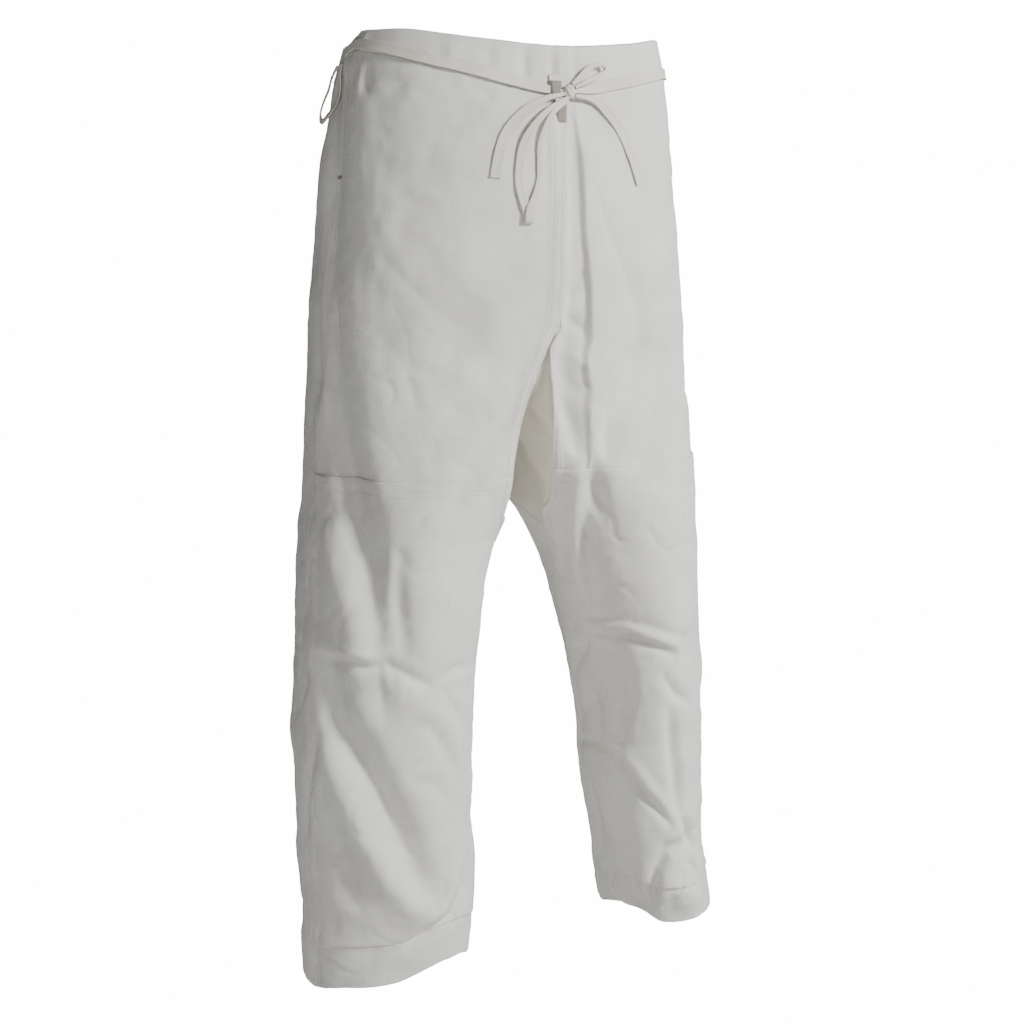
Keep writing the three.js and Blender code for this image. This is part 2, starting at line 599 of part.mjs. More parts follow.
// Smooth path through rows of [side, angle, height, lift off the cloth, width], or through given
// points with their outward direction and width.
function clothPath(rows, steps) {
  const points = rows.map((row) => row.point ?? clothPoint(row[0], row[1], row[2])
    .addScaledVector(outward(row[0], row[1], row[2]), row[3]));
  const outs = rows.map((row) => row.out ?? outward(row[0], row[1], row[2]));
  const widths = rows.map((row) => row.width ?? row[4]);
  const curve = new THREE.CatmullRomCurve3(points, false, 'centripetal');
  return spread(0, 1, steps + 1).map((t) => {
    const place = t * (rows.length - 1);
    const i = Math.min(rows.length - 2, Math.floor(place));
    const out = outs[i].clone().lerp(outs[i + 1], place - i).normalize();
    const width = widths[i] + (widths[i + 1] - widths[i]) * (place - i);
    return [curve.getPoint(t), out, width];
  });
}
function tape(name, rows, steps) {
  add(name, strip(clothPath(rows, steps), TAPE_THICK), tapeCotton);
}
const W = TAPE_WIDE;

// Knot beside the front loop
const KNOT_SIZE = [6, 4.2, 6.4];
const knotOut = outward(LEFT, 92.6, -25);
const knotAt = clothPoint(LEFT, 92.6, -25).addScaledVector(knotOut, BAND_OUT + 0.35 + KNOT_SIZE[1]);
const knot = new THREE.SphereGeometry(1, 12, 8);
knot.scale(...KNOT_SIZE);
knot.translate(knotAt.x, knotAt.y, knotAt.z);
knot.deleteAttribute('uv');
knot.deleteAttribute('normal');
const knotMesh = mergeVertices(knot);
knotMesh.computeVertexNormals();
add('bow_knot', knotMesh, tapeCotton);

// Start of a strand on the knot: its direction in degrees from the wearer's left, and its depth
// in front of the knot's middle.
function fromKnot(direction, depth, width) {
  const inner = Math.max(0, Math.abs(depth) - TAPE_THICK / 2);
  const around = Math.sqrt(1 - (inner / KNOT_SIZE[1]) ** 2);
  const reach = (size) => size * around + 0.6;
  const point = knotAt.clone().add(new THREE.Vector3(
    reach(KNOT_SIZE[0]) * Math.cos(degrees(direction)), -depth,
    reach(KNOT_SIZE[2]) * Math.sin(degrees(direction))));
  return { point, out: knotOut, width };
}

tape('tape_run_right', [[RIGHT, 179, 9, 2, 7], [RIGHT, 170, 7, 2, 10], [RIGHT, 156, 3.5, 2, W],
  [RIGHT, 138, -4, 2, W], [RIGHT, 119, -9.5, 2, W], [RIGHT, 107, -15.5, 2, W], [RIGHT, 96, -22, 2.2, 9],
  [RIGHT, 91.6, -24.2, 2.3, 6], fromKnot(180, -1.9, 4)], 24);
tape('tape_run_left', [fromKnot(4, -1.9, 4), [LEFT, 99.2, -23, 2.1, 8], [LEFT, 104, -20.6, 2, W],
  [LEFT, 116, -17, 2, W], [LEFT, 130, -14, 2, W], [LEFT, 146, -13, 2, W], [LEFT, 160, -13, 2, W],
  [LEFT, 174, -13, 2, 10], [LEFT, 179, -13, 2, 8]], 20);
tape('tape_end_right', [fromKnot(198, 1.6, 3), [RIGHT, 95.4, -32.5, 7, 5.5], [RIGHT, 99.8, -41.5, 5, 10],
  [RIGHT, 104.2, -55, 3, W], [RIGHT, 107.4, -70, 2.2, W], [RIGHT, 109.2, -86, 1.8, W],
  [RIGHT, 110, -99, 1.5, W], [RIGHT, 110.5, -114, 1.5, W]], 20);
tape('bow_loop_long', [fromKnot(237, 3.4, 3), [RIGHT, 95.2, -44, 8.4, 5.5],
  [RIGHT, 99.6, -60, 7, 9], [RIGHT, 102.4, -78, 5, W], [RIGHT, 103.7, -98, 3.8, 10],
  [RIGHT, 104.1, -120, 3.4, 9.5], [RIGHT, 103, -138, 3.8, 8.5], [RIGHT, 101.4, -151, 4.6, 6.5],
  [RIGHT, 99.6, -156.5, 5.8, 5.5], [RIGHT, 97.9, -151, 6.8, 6.5], [RIGHT, 96.8, -138, 7, 8.5],
  [RIGHT, 96.6, -120, 6.8, 9.5], [RIGHT, 96.8, -98, 6.8, 9.5], [RIGHT, 96.8, -80, 7.2, 9],
  [RIGHT, 95.4, -64, 8.2, 7], [RIGHT, 92.2, -47, 8.8, 4.2], fromKnot(262, 1.2, 2.4)], 42);
tape('tape_end_left', [fromKnot(-30, 1.2, 3), [LEFT, 99.8, -33, 4.2, 7], [LEFT, 104.4, -42, 2.8, W],
  [LEFT, 109, -57, 2, W], [LEFT, 113, -75, 1.6, W], [LEFT, 116.8, -98, 1.5, W],
  [LEFT, 120.5, -121, 1.5, W]], 18);
tape('bow_loop_short', [fromKnot(66, 0, 3), [LEFT, 95.2, -11, 4.6, 5], [LEFT, 97.6, -4.6, 4.6, 6.4],
  [LEFT, 100.2, 0, 5, 5.6], [LEFT, 103, 1, 5.8, 4], [LEFT, 104.9, -2, 6.8, 3.2],
  [LEFT, 104.2, -6.6, 7.8, 3.8], [LEFT, 101, -10.4, 8.8, 5.4], [LEFT, 97.4, -14.8, 9, 5],
  fromKnot(32, 2.2, 3)], 26);

// Loop of the drawstring that hangs out of the right side slit
tape('side_loop', [[RIGHT, 181.5, 1, 1.95, 7], [RIGHT, 182.2, -9, 2.1, 9], [RIGHT, 183.8, -22, 1.8, 10.5],
  [RIGHT, 186, -36, 2.2, 10], [RIGHT, 187.8, -47, 3.6, 8], [RIGHT, 190.6, -53.5, 5.8, 5],
  [RIGHT, 193, -47, 8, 8], [RIGHT, 192, -36, 7.8, 10], [RIGHT, 189.6, -22, 6.8, 10.5],
  [RIGHT, 186.8, -10, 5.4, 9], [RIGHT, 185.8, 2, 2.6, 6]], 26);

// Upright loop of cloth at the middle of the front, which the drawstring passes under
const loopRows = [[-10, 1.9, 9], [-14, 3.4, 9], [-22, 4.6, 9], [-34, 4.6, 9], [-44, 2.6, 9], [-53, 1.3, 9]];
add('front_loop', strip(loopRows.map(([z, lift, width]) => [
  clothPoint(RIGHT, 91.6, z).addScaledVector(outward(RIGHT, 91.6, z), lift + 0.2),
  outward(RIGHT, 91.6, z), width]), 1.4));

export default trousers;
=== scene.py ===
# Judo trousers in off-white cotton, filled out as if worn, with a tape drawstring tied in a bow.
import bpy, json, math
import numpy as np
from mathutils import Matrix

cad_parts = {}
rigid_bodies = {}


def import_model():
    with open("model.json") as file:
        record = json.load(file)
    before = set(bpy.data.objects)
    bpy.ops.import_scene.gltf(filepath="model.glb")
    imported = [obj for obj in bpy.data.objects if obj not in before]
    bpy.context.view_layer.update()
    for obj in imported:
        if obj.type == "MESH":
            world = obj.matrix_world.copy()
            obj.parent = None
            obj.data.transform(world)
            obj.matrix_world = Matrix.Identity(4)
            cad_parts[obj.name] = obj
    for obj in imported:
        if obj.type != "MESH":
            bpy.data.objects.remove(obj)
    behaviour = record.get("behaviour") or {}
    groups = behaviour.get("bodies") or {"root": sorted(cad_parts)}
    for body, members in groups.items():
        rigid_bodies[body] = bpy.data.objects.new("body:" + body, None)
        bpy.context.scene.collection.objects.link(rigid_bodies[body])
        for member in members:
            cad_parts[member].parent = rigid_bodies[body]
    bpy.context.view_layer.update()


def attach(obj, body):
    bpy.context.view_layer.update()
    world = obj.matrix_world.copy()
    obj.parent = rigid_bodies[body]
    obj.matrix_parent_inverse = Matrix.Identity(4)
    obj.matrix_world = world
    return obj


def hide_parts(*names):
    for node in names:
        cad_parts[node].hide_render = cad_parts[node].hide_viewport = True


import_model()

mm = 0.001
right, left = -1, 1

# Camera: a little to the wearer's right of the front, about level with the waist, looking down.
camera = dict(place=(-845.0, -1589.3, -130.0), down=10.6, azimuth=-28.0, lens=60.47, shiftX=0.0068)


def addCamera(c):
    data = bpy.data.cameras.new("camera")
    data.sensor_width, data.lens, data.shift_x = 36, c["lens"], c["shiftX"]
    data.clip_start, data.clip_end = 0.05, 100
    obj = bpy.data.objects.new("camera", data)
    obj.location = [v * mm for v in c["place"]]
    obj.rotation_euler = (math.radians(90 - c["down"]), 0, math.radians(c["azimuth"]))
    bpy.context.collection.objects.link(obj)
    bpy.context.scene.camera = obj


addCamera(camera)

# ---- The cut: heights in millimetres from the middle of the waistband, angles in degrees round each half
# (0 inseam, 90 front, 180 outer side, 270 back)
cut = dict(rim=20.0, hem=-940.0, cloth=1.5, hemCloth=2.9, bandIn=3.0, bandOut=0.8,
           patchGap=0.4, patchCloth=1.2, patchTop=-409.0, seamGap=0.02, gussetTop=-258.0,
           gussetSide=-486.0, tipAngle=22.0, hipEnd=-290.0, tapeWide=11.0, tapeThick=1.5)
ringColumns = ["z", "outer", "inner", "front", "back", "cy", "turn", "power"]
rings = {
    right: [
        [20, 170, -170, 112, 108, 0, 0, 2.1], [-20, 182, -182, 115, 112, 0, 0, 2.1],
        [-100, 195, -195, 122, 126, 0, 0, 2.1], [-200, 202, -202, 124, 142, 2, 0, 2.1],
        [-290, 208, -208, 118, 148, 6, 0, 2.1], [-380, 212, -70, 119, 138, 9, 0, 2.1],
        [-480, 224, 26, 117, 123, 4, 3, 2.0], [-560, 234, 44, 109, 113, 0, 7, 2.0],
        [-650, 240, 51, 97, 99, 0, 11, 2.0], [-760, 240, 54, 84, 84, 0, 15, 2.0],
        [-860, 236, 50, 69, 70, 0, 18, 2.0], [-940, 233, 55, 61, 63, 0, 18, 2.0]],
    left: [
        [20, 165, -165, 112, 108, 0, 0, 2.1], [-20, 175, -175, 115, 112, 0, 0, 2.1],
        [-100, 184, -184, 122, 126, 0, 0, 2.1], [-200, 196, -196, 124, 142, 2, 0, 2.1],
        [-290, 210, -210, 118, 148, 6, 0, 2.1], [-380, 215, -70, 119, 138, 9, 0, 2.1],
        [-480, 218, 34, 123, 129, 4, -8, 2.0], [-560, 224, 69, 124, 129, 0, -14, 2.0],
        [-650, 232, 91, 118, 120, 0, -18, 2.0], [-760, 240, 105, 107, 107, 0, -20, 2.0],
        [-860, 245, 119, 97, 99, 0, -18, 2.0], [-940, 256, 133, 88, 90, 0, -12, 2.0]],
}
rimLift = {
    right: [[0, 0], [90, -14], [120, -8], [150, 0], [168, 0], [179, -10], [190, -15], [215, -6],
            [270, 0], [360, 0]],
    left: [[0, 0], [90, -14], [120, -8], [150, 0], [180, 0], [270, 0], [360, 0]]}
hemLift = {
    right: [[0, 0], [12, 3], [36, 11], [50, 11], [62, 8], [74, 2], [86, -4], [100, -7], [120, -9],
            [136, -13], [150, -17], [162, -14], [180, -8], [220, -3], [280, 0], [360, 0]],
    left: [[0, 2], [12, 9], [30, 17], [44, 18], [60, 11], [74, 6], [120, 6], [170, 3], [220, 0],
           [300, 0], [360, 2]]}
bandEdge = {
    right: [[90, -28], [96, -27], [119, -15], [138, -10], [156, -3], [180, 3], [190, -8], [205, -20],
            [270, -20]],
    left: [[90, -28], [104, -24], [125, -20], [155, -18], [180, -19], [270, -20]]}
gussetHalf = {
    right: [[-470, 44], [-451, 46], [-403, 46], [-361, 41], [-322, 29], [-290, 15], [-258, 0]],
    left: [[-470, 34], [-451, 27], [-403, 14], [-361, 8], [-290, 4], [-258, 0]],
    "back": [[-470, 34], [-451, 28], [-403, 17], [-361, 11], [-290, 5], [-258, 0]]}
inseamAngle = [[-620, 0], [-568, 6], [-502, 19], [-486, 22]]
sideSeamAngle = {
    right: [[-940, 152], [-800, 152], [-700, 155], [-580, 162], [-480, 172], [-400, 178], [-20, 180]],
    left: [[-940, 180], [-20, 180]]}


# Monotone cubic through a table's rows: slopes are weighted harmonic means of the steps' slopes.
def curveThrough(rows, x, column=1):
    table = np.array(rows, float)
    if table[0, 0] > table[-1, 0]:
        table = table[::-1]
    xs, ys = table[:, 0], table[:, column]
    h = np.diff(xs)
    d = np.diff(ys) / h
    slope = np.zeros(len(xs))
    slope[0], slope[-1] = d[0], d[-1]
    same = d[:-1] * d[1:] > 0
    a, b = np.where(same, d[:-1], 1), np.where(same, d[1:], 1)
    slope[1:-1] = np.where(
        same, 3 * (h[:-1] + h[1:]) / ((2 * h[1:] + h[:-1]) / a + (h[1:] + 2 * h[:-1]) / b), 0)
    x = np.clip(x, xs[0], xs[-1])
    k = np.clip(np.searchsorted(xs, x, side="right") - 1, 0, len(xs) - 2)
    t = (x - xs[k]) / h[k]
    s = 1 - t
    return ((1 + 2 * t) * s * s * ys[k] + t * s * s * h[k] * slope[k]
            + t * t * (3 - 2 * t) * ys[k + 1] - t * t * s * h[k] * slope[k + 1])


def smooth(t):
    t = np.clip(t, 0, 1)
    return t * t * (3 - 2 * t)


def signedPower(value, power):
    return np.sign(value) * np.abs(value) ** power


# The measures of one half's ring at each height.
def ringAt(side, z):
    ring = {name: curveThrough(rings[side], z, i) for i, name in enumerate(ringColumns)}
    ring["inner"] = np.where(z >= cut["hipEnd"], -ring["outer"], ring["inner"])
    return ring


# Superellipse x = -half cos^k, y = -depth sin^k, turned about the ring's middle. The rim and the hem are lifted.
def basePoint(side, angle, z):
    angle, z = np.broadcast_arrays(np.asarray(angle, float), np.asarray(z, float))
    r = ringAt(side, z)
    a = np.radians(angle)
    k = 2 / r["power"]
    half = (r["outer"] - r["inner"]) / 2
    across = -half * signedPower(np.cos(a), k)
    s = signedPower(np.sin(a), k)
    along = np.where(s > 0, -r["front"] * s, -r["back"] * s)
    turn = np.radians(r["turn"])
    x = (r["outer"] + r["inner"]) / 2 + across * np.cos(turn) - along * np.sin(turn)
    y = r["cy"] + across * np.sin(turn) + along * np.cos(turn)
    wrapped = np.mod(angle, 360)
    lift = (curveThrough(rimLift[side], wrapped) * smooth((z + 220) / 240)
            + curveThrough(hemLift[side], wrapped) * np.clip((-500 - z) / 440, 0, 1) ** 2)
    return np.stack([side * x, y, z + lift], -1)


def unit(v):
    return v / (np.linalg.norm(v, axis=-1, keepdims=True) + 1e-9)


# Outward direction: the step round the ring crossed with the step up it.
def outward(side, angle, z):
    angle, z = np.asarray(angle, float), np.asarray(z, float)
    turned = basePoint(side, angle + 0.5, z) - basePoint(side, angle - 0.5, z)
    risen = basePoint(side, angle, z + 1) - basePoint(side, angle, z - 1)
    return unit(np.cross(turned, risen) * side)


# One point's outward direction.
def outwardAt(side, angle, z):
    return outward(side, np.array([angle]), np.array([z]))[0]


# Millimetres of cloth for a degree.
def perDegree(side, z):
    r = ringAt(side, z)
    return math.radians(1) * ((r["outer"] - r["inner"]) / 2 + (r["front"] + r["back"]) / 2) / 2


# The angle in front at a distance from the middle, where x = distance.
def angleAt(side, z, distance):
    r = ringAt(side, z)
    half = (r["outer"] - r["inner"]) / 2
    share = np.minimum(1, ((r["outer"] + r["inner"]) / 2 - distance) / half)
    return np.degrees(np.arccos(signedPower(share, r["power"] / 2)))


# Below these heights the gusset's edges swing to its side tips. The left front panel runs over the gusset by
# some degrees, which rise from nought at one height and are nought again at another.
tipFrom = dict(front=-450.0, back=-420.0)
overGusset = dict(degrees=3.2, top=-262, rise=24, foot=-450, fall=60)


# A panel's edge: the middle seam, then the gusset's edge, then the inseam.
def byHeight(z, middle, gussetEdge, inseam):
    return np.where(z >= cut["gussetTop"], middle, np.where(z > cut["gussetSide"], gussetEdge, inseam))


def frontEdge(side, z):
    z = np.asarray(z, float)
    t = np.clip((tipFrom["front"] - z) / (tipFrom["front"] - cut["gussetSide"]), 0, 1)
    low = angleAt(side, z, curveThrough(gussetHalf[side], z)) * (1 - t) + cut["tipAngle"] * t
    if side == left:
        o = overGusset
        low = low - o["degrees"] * smooth((o["top"] - z) / o["rise"]) * smooth((z - o["foot"]) / o["fall"])
    return byHeight(z, 90, low, curveThrough(inseamAngle, z))


def backEdge(side, z):
    z = np.asarray(z, float)
    t = np.clip((tipFrom["back"] - z) / (tipFrom["back"] - cut["gussetSide"]), 0, 1)
    low = 360 - angleAt(side, z, curveThrough(gussetHalf["back"], z))
    low = low * (1 - t) + (360 + cut["tipAngle"]) * t
    return byHeight(z, 270, low, 360 + curveThrough(inseamAngle, z))


# Folds, listed one by one: side, height out of the cloth, width on the lower and on the higher angle,
# and the path's points as angle and height.
folds = [
    (right, -10, 24, 9, [(188, -14), (181.5, -55), (178, -88), (177, -118), (176, -157), (173.5, -196),
        (170, -235)]),  # hip side valley
    (right, 3, 3, 4, [(163, -10), (163.5, -25), (163.5, -46)]),  # hip pleat by the slit
    (right, -2.5, 3, 3, [(159, -10), (159.8, -22), (159, -37)]),  # hip pleat shadow
    (right, -1.5, 4, 4, [(139.2, -22), (144.2, -34), (148.8, -43)]),  # hip diagonal
    (right, -4, 8, 7, [(117, -19), (113.8, -28), (110, -34)]),  # bow pull near
    (right, -1.5, 5, 5, [(105.5, -61), (110, -67), (115.8, -76)]),  # bow pull near faint
    (right, -5, 5, 5, [(180.2, -280), (179.2, -307), (176.4, -337)]),  # thigh edge strip
    (right, 2.5, 7, 6, [(171, -290), (172, -330), (174, -364), (175, -403)]),  # thigh edge ridge
    (right, -12, 17, 10, [(168, -262), (166, -304), (162, -340), (158.5, -375), (154, -405),
        (147, -440), (138, -470), (129, -499), (116, -550), (108, -580)]),  # thigh long trough
    (right, -1.3, 3.5, 3.5, [(146, -192), (138, -214), (130, -236), (124, -250)]),  # thigh faint diagonal
    (right, -1.6, 3.2, 3.2, [(137, -292), (133.3, -310), (129, -332)]),  # thigh short crease
    (right, -2.5, 10, 9, [(94.2, -330), (92, -370), (95.6, -394), (93.8, -430)]),  # thigh inner diagonal
    (right, 4, 12, 12, [(160, -470), (150, -500), (139, -530), (128, -556),
        (118, -578)]),  # above knee bright ridge
    (right, 2.2, 6, 7, [(119, -478), (114, -523), (108, -574)]),  # above knee ridge
    (right, -3.5, 7, 6, [(113.5, -480), (107.5, -523), (100, -553), (95, -580)]),  # above knee trough
    (right, -5, 3, 2.6, [(152, -584), (140, -588), (128, -586), (117, -591), (106.5, -588)]),  # knee crease
    (right, 2.5, 4, 4, [(149.5, -577), (128, -577), (108, -580)]),  # knee crease ridge
    (right, -4, 3, 3, [(106, -589), (97.5, -595), (88, -604), (73.5, -616)]),  # knee crease tail
    (right, -3, 3, 3, [(30, -610), (55, -604), (68, -607)]),  # knee crease inner
    (right, -3, 5, 5, [(111, -594), (105.5, -622), (102, -652)]),  # below knee short
    (right, -13, 12, 9, [(143, -595), (132, -643), (117.5, -682), (100, -730), (84, -781), (73.5, -826),
        (68.5, -847)]),  # shin diagonal trough
    (right, 6, 10, 10, [(142, -661), (132.5, -700), (118.5, -742), (101, -799), (83.5, -847),
        (57.5, -886)]),  # shin diagonal ridge
    (right, -4, 4, 4, [(142.5, -664), (149.5, -703), (155, -739), (157, -781)]),  # shin outer crease
    (right, -6, 8, 7, [(130.5, -769), (122, -799), (116, -841)]),  # shin outer dark
    (right, -3, 6, 6, [(84, -649), (70, -661), (57, -691), (41, -733)]),  # shin curved crease
    (right, -3, 4, 4, [(65.5, -619), (46, -661), (32, -700), (27, -748)]),  # shin inner edge crease
    (right, -6, 5, 4, [(28, -826), (33.5, -862), (46.5, -886), (65.5, -892),
        (82, -898)]),  # hem pull crease
    (right, 3, 7, 7, [(40.5, -826), (47.5, -850), (59.5, -871), (78, -880)]),  # hem pull ridge
    (right, -6, 6, 6, [(155, -907), (153.5, -922), (149, -937)]),  # hem corner
    (right, 3, 8, 8, [(83, -898), (96, -913), (111, -934)]),  # hem fan
    (left, 3.8, 1.5, 24, [(94.2, -50), (95.2, -85), (95.8, -115), (97, -181), (98.6, -229),
        (99.7, -277), (95.3, -325), (80.8, -373), (71.8, -400)]),  # front sharp ridge
    (left, -3.2, 15, 1.5, [(93.3, -55), (94.3, -85), (94.9, -115), (96.1, -181), (97.7, -229),
        (98.8, -277), (94.4, -325), (79.9, -373), (70.9, -400)]),  # front sharp ridge hollow
    (left, -2.5, 3, 4, [(93.2, -70), (90.8, -106), (90, -181), (90, -229)]),  # front faint line
    (left, -4.5, 2.6, 2.6, [(96.8, -211), (93, -232), (90.4, -238)]),  # crotch smile
    (left, -4.5, 2.6, 2.6, [(91, -247), (94.5, -259), (98.2, -268)]),  # crotch crease
    (left, -10, 5, 6, [(92.4, -262), (92.2, -290), (89.4, -320), (78.8, -355),
        (69.5, -385)]),  # inner thigh trough
    (left, 3, 3, 3, [(94.3, -289), (96.1, -298), (97.9, -304)]),  # inner thigh small ridge
    (left, -3, 4, 4, [(100, -125), (105, -165), (110.5, -205), (115, -244)]),  # front faint diagonal
    (left, -6.5, 8, 9, [(117.2, -240), (118.8, -286), (110.9, -328), (95.9, -358),
        (84.5, -385)]),  # outer thigh dark
    (left, -5, 4, 4, [(97.8, -343), (88.5, -370), (79.6, -397)]),  # mid thigh short dark
    (left, -7, 6, 7, [(72.2, -406), (65.7, -433), (61.3, -460)]),  # patch top dark
    (left, 5, 10, 3, [(68.4, -406), (54.9, -442), (44.3, -475), (38, -517),
        (37.5, -562)]),  # inner shin ridge
    (left, -4, 3, 9, [(70, -409), (57.6, -442), (47, -478), (41.5, -517),
        (42.5, -556)]),  # inner shin hollow
    (left, -3.5, 3, 3, [(39, -577), (61, -574), (83.5, -580), (122.5, -601)]),  # knee line above
    (left, 6, 4, 4, [(36.5, -584), (50, -584), (66, -580), (83.5, -590), (107, -603)]),  # knee ridge
    (left, -7, 2.6, 2.6, [(37, -594), (52, -592), (68, -590), (86, -600), (104, -612)]),  # knee line below
    (left, -3.5, 3, 3, [(35.5, -598), (25.5, -622), (7, -658)]),  # inner knee crease
    (left, -4, 4, 4, [(11.5, -592), (18, -598), (25, -601)]),  # inner knee dent
    (left, -3.5, 9, 8, [(37.5, -634), (33, -679), (38.5, -721)]),  # below knee dark patch
    (left, -4, 4, 4, [(64.5, -619), (66.5, -655), (61, -685), (56, -733)]),  # below knee wavy
    (left, -7, 3, 3, [(5, -739), (33.5, -733), (49, -736), (56.5, -751), (68, -769), (81, -787),
        (97.5, -814)]),  # shin diagonal crease
    (left, 3.5, 6, 6, [(43, -721), (57, -730), (69.5, -745), (82.5, -772),
        (96.5, -793)]),  # shin diagonal upper ridge
    (left, -4, 4, 4, [(95, -640), (105, -658), (122.5, -676)]),  # outer knee crease
    (left, -6, 7, 7, [(101.5, -682), (105.5, -736), (108.5, -793)]),  # outer shin dark
    (left, -5.5, 3.5, 4, [(110.5, -805), (120.5, -832), (127.5, -853)]),  # ankle hook
    (left, -7, 6, 6, [(117, -841), (93, -847), (77.5, -871), (62.5, -922)]),  # ankle shadow
    (left, -4, 3.5, 3.5, [(125.5, -850), (117.5, -868), (126.5, -889), (150.5, -910)]),  # ankle side crease
    (left, 6, 13, 12, [(89, -901), (102.5, -907), (121.5, -907)]),  # hem bulge
    (left, -6, 7, 7, [(48, -913), (52, -925), (55, -937)]),  # hem inner hollow
    (left, 4, 6, 6, [(14.5, -910), (23.5, -919), (38.5, -931)]),  # hem inner ridge
    (left, -3.5, 8, 8, [(18, -793), (20, -829), (20.5, -874)]),  # inner shin patch
    (left, 2.5, 7, 7, [(34.5, -790), (40.5, -832), (48.5, -883)]),  # inner shin light
]
# Folds of the sides that the front view hides
hiddenFolds = [
    (right, -7, 12, 10, [(228, -60), (224, -150), (226, -240), (234, -330)]),
    (left, -7, 11, 12, [(222, -70), (228, -160), (226, -250), (232, -350)]),
    (right, -6, 8, 9, [(246, -300), (262, -350), (290, -385)]),
    (left, -6, 9, 8, [(248, -310), (266, -352), (292, -380)]),
    (right, -9, 11, 11, [(262, -390), (256, -460), (262, -530), (258, -590)]),
    (left, -8, 11, 10, [(258, -380), (264, -450), (258, -520), (264, -585)]),
    (right, -5, 9, 9, [(212, -598), (240, -606), (275, -600), (305, -610)]),
    (left, -5, 9, 9, [(215, -596), (245, -604), (280, -610), (310, -600)]),
    (right, -9, 11, 9, [(300, -630), (284, -700), (262, -770), (246, -850)]),
    (left, -8, 10, 10, [(236, -625), (250, -700), (272, -775), (284, -860)]),
    (right, 5, 9, 9, [(232, -640), (224, -720), (214, -800), (206, -880)]),
    (left, -6, 9, 9, [(196, -430), (190, -520), (198, -610), (190, -700)]),
    (right, 3, 5, 8, [(233, -80), (230, -160), (233, -240)]),
    (left, 3, 8, 5, [(216, -90), (221, -180), (220, -250)]),
    (right, -2.5, 3, 4, [(250, -60), (246, -92), (240, -118)]),
    (left, -2.5, 4, 3, [(254, -58), (250, -84), (252, -110)]),
    (right, -3, 4, 4, [(240, -285), (252, -310), (258, -330)]),
    (left, -3.5, 3, 3, [(212, -612), (236, -622), (262, -640)]),
    (right, 3, 4, 4, [(214, -588), (240, -596), (272, -591)]),
    (left, 3, 4, 4, [(218, -586), (246, -594), (276, -600)]),
    (right, -4, 3, 4, [(318, -622), (300, -640), (286, -668)]),
    (left, -3.5, 4, 3, [(330, -610), (316, -636), (300, -650)]),
    (right, -4, 5, 5, [(330, -700), (318, -760), (300, -800)]),
    (left, -5, 6, 6, [(340, -760), (322, -810), (300, -850), (280, -880)]),
    (right, -5, 5, 5, [(262, -880), (246, -900), (228, -925)]),
    (left, 4, 8, 8, [(240, -890), (256, -910), (262, -935)]),
    (left, -4, 4, 4, [(206, -640), (212, -700), (206, -760)]),
    (left, 3.5, 6, 6, [(214, -800), (222, -850), (216, -900)]),
    (left, -4, 5, 5, [(186, -720), (196, -780), (190, -850)]),
    (left, -3, 5, 5, [(182, -120), (190, -200), (188, -280)]),
]


# Nearest place on a path, in millimetres of cloth: distance, side (above 0 on the higher angle) and share.
def nearPath(side, angle, z, path):
    scale = perDegree(side, z)
    best = np.full(angle.shape, np.inf)
    hand, place = np.zeros(angle.shape), np.zeros(angle.shape)
    turns = np.round((path[0][0] - angle) / 360) * 360
    for i in range(len(path) - 1):
        (a0, z0), (a1, z1) = path[i], path[i + 1]
        u0, u1 = (a0 - angle - turns) * scale, (a1 - angle - turns) * scale
        du, dz = u1 - u0, z1 - z0
        t = np.clip(-(u0 * du + (z0 - z) * dz) / (du * du + dz * dz), 0, 1)
        pu, pz = u0 + t * du, z0 - z + t * dz
        distance = np.hypot(pu, pz)
        closer = distance < best
        best = np.where(closer, distance, best)
        hand = np.where(closer, np.sign(dz * pu - du * pz), hand)
        place = np.where(closer, (i + t) / (len(path) - 1), place)
    return best, hand, place


# Each fold is a bell across its path, exp(-(distance / width)^power / 2), that fades at both ends. One narrower
# than 'pressed' is a pressed crease, with a lower power.
bell = dict(reach=3.2, fade=(0.08, 0.84), fadePower=0.7, pressed=6, pressedPower=1.3)


def foldsHeight(side, angle, z):
    height = np.zeros(angle.shape)
    for foldSide, tall, before, after, path in folds + hiddenFolds:
        if foldSide != side:
            continue
        reach = bell["reach"] * max(before, after)
        zs = [p[1] for p in path]
        near = (z < max(zs) + reach) & (z > min(zs) - reach)
        if not near.any():
            continue
        distance, hand, place = nearPath(side, angle[near], z[near], path)
        width = np.where(hand > 0, after, before)
        start, share = bell["fade"]
        fade = np.sin(np.pi * np.clip(start + share * place, 0, 1)) ** bell["fadePower"]
        power = bell["pressedPower"] if max(before, after) < bell["pressed"] else 2
        height[near] += tall * fade * np.exp(-(distance / width) ** power / 2) * (distance < reach)
    return height


# Value noise on a lattice: seeded random corners joined by smooth steps along x, y and z.
def softNoise(p, size, seed):
    table = np.random.default_rng(seed).uniform(-1, 1, (32, 32, 32))
    q = p / size + 100.0
    i = np.floor(q).astype(int)
    f = smooth(q - i)
    total = 0
    for dx in (0, 1):
        for dy in (0, 1):
            for dz in (0, 1):
                weight = (np.abs(1 - dx - f[..., 0]) * np.abs(1 - dy - f[..., 1]) * np.abs(1 - dz - f[..., 2]))
                corner = (i + [dx, dy, dz]) % 32
                total = total + weight * table[corner[..., 0], corner[..., 1], corner[..., 2]]
    return total


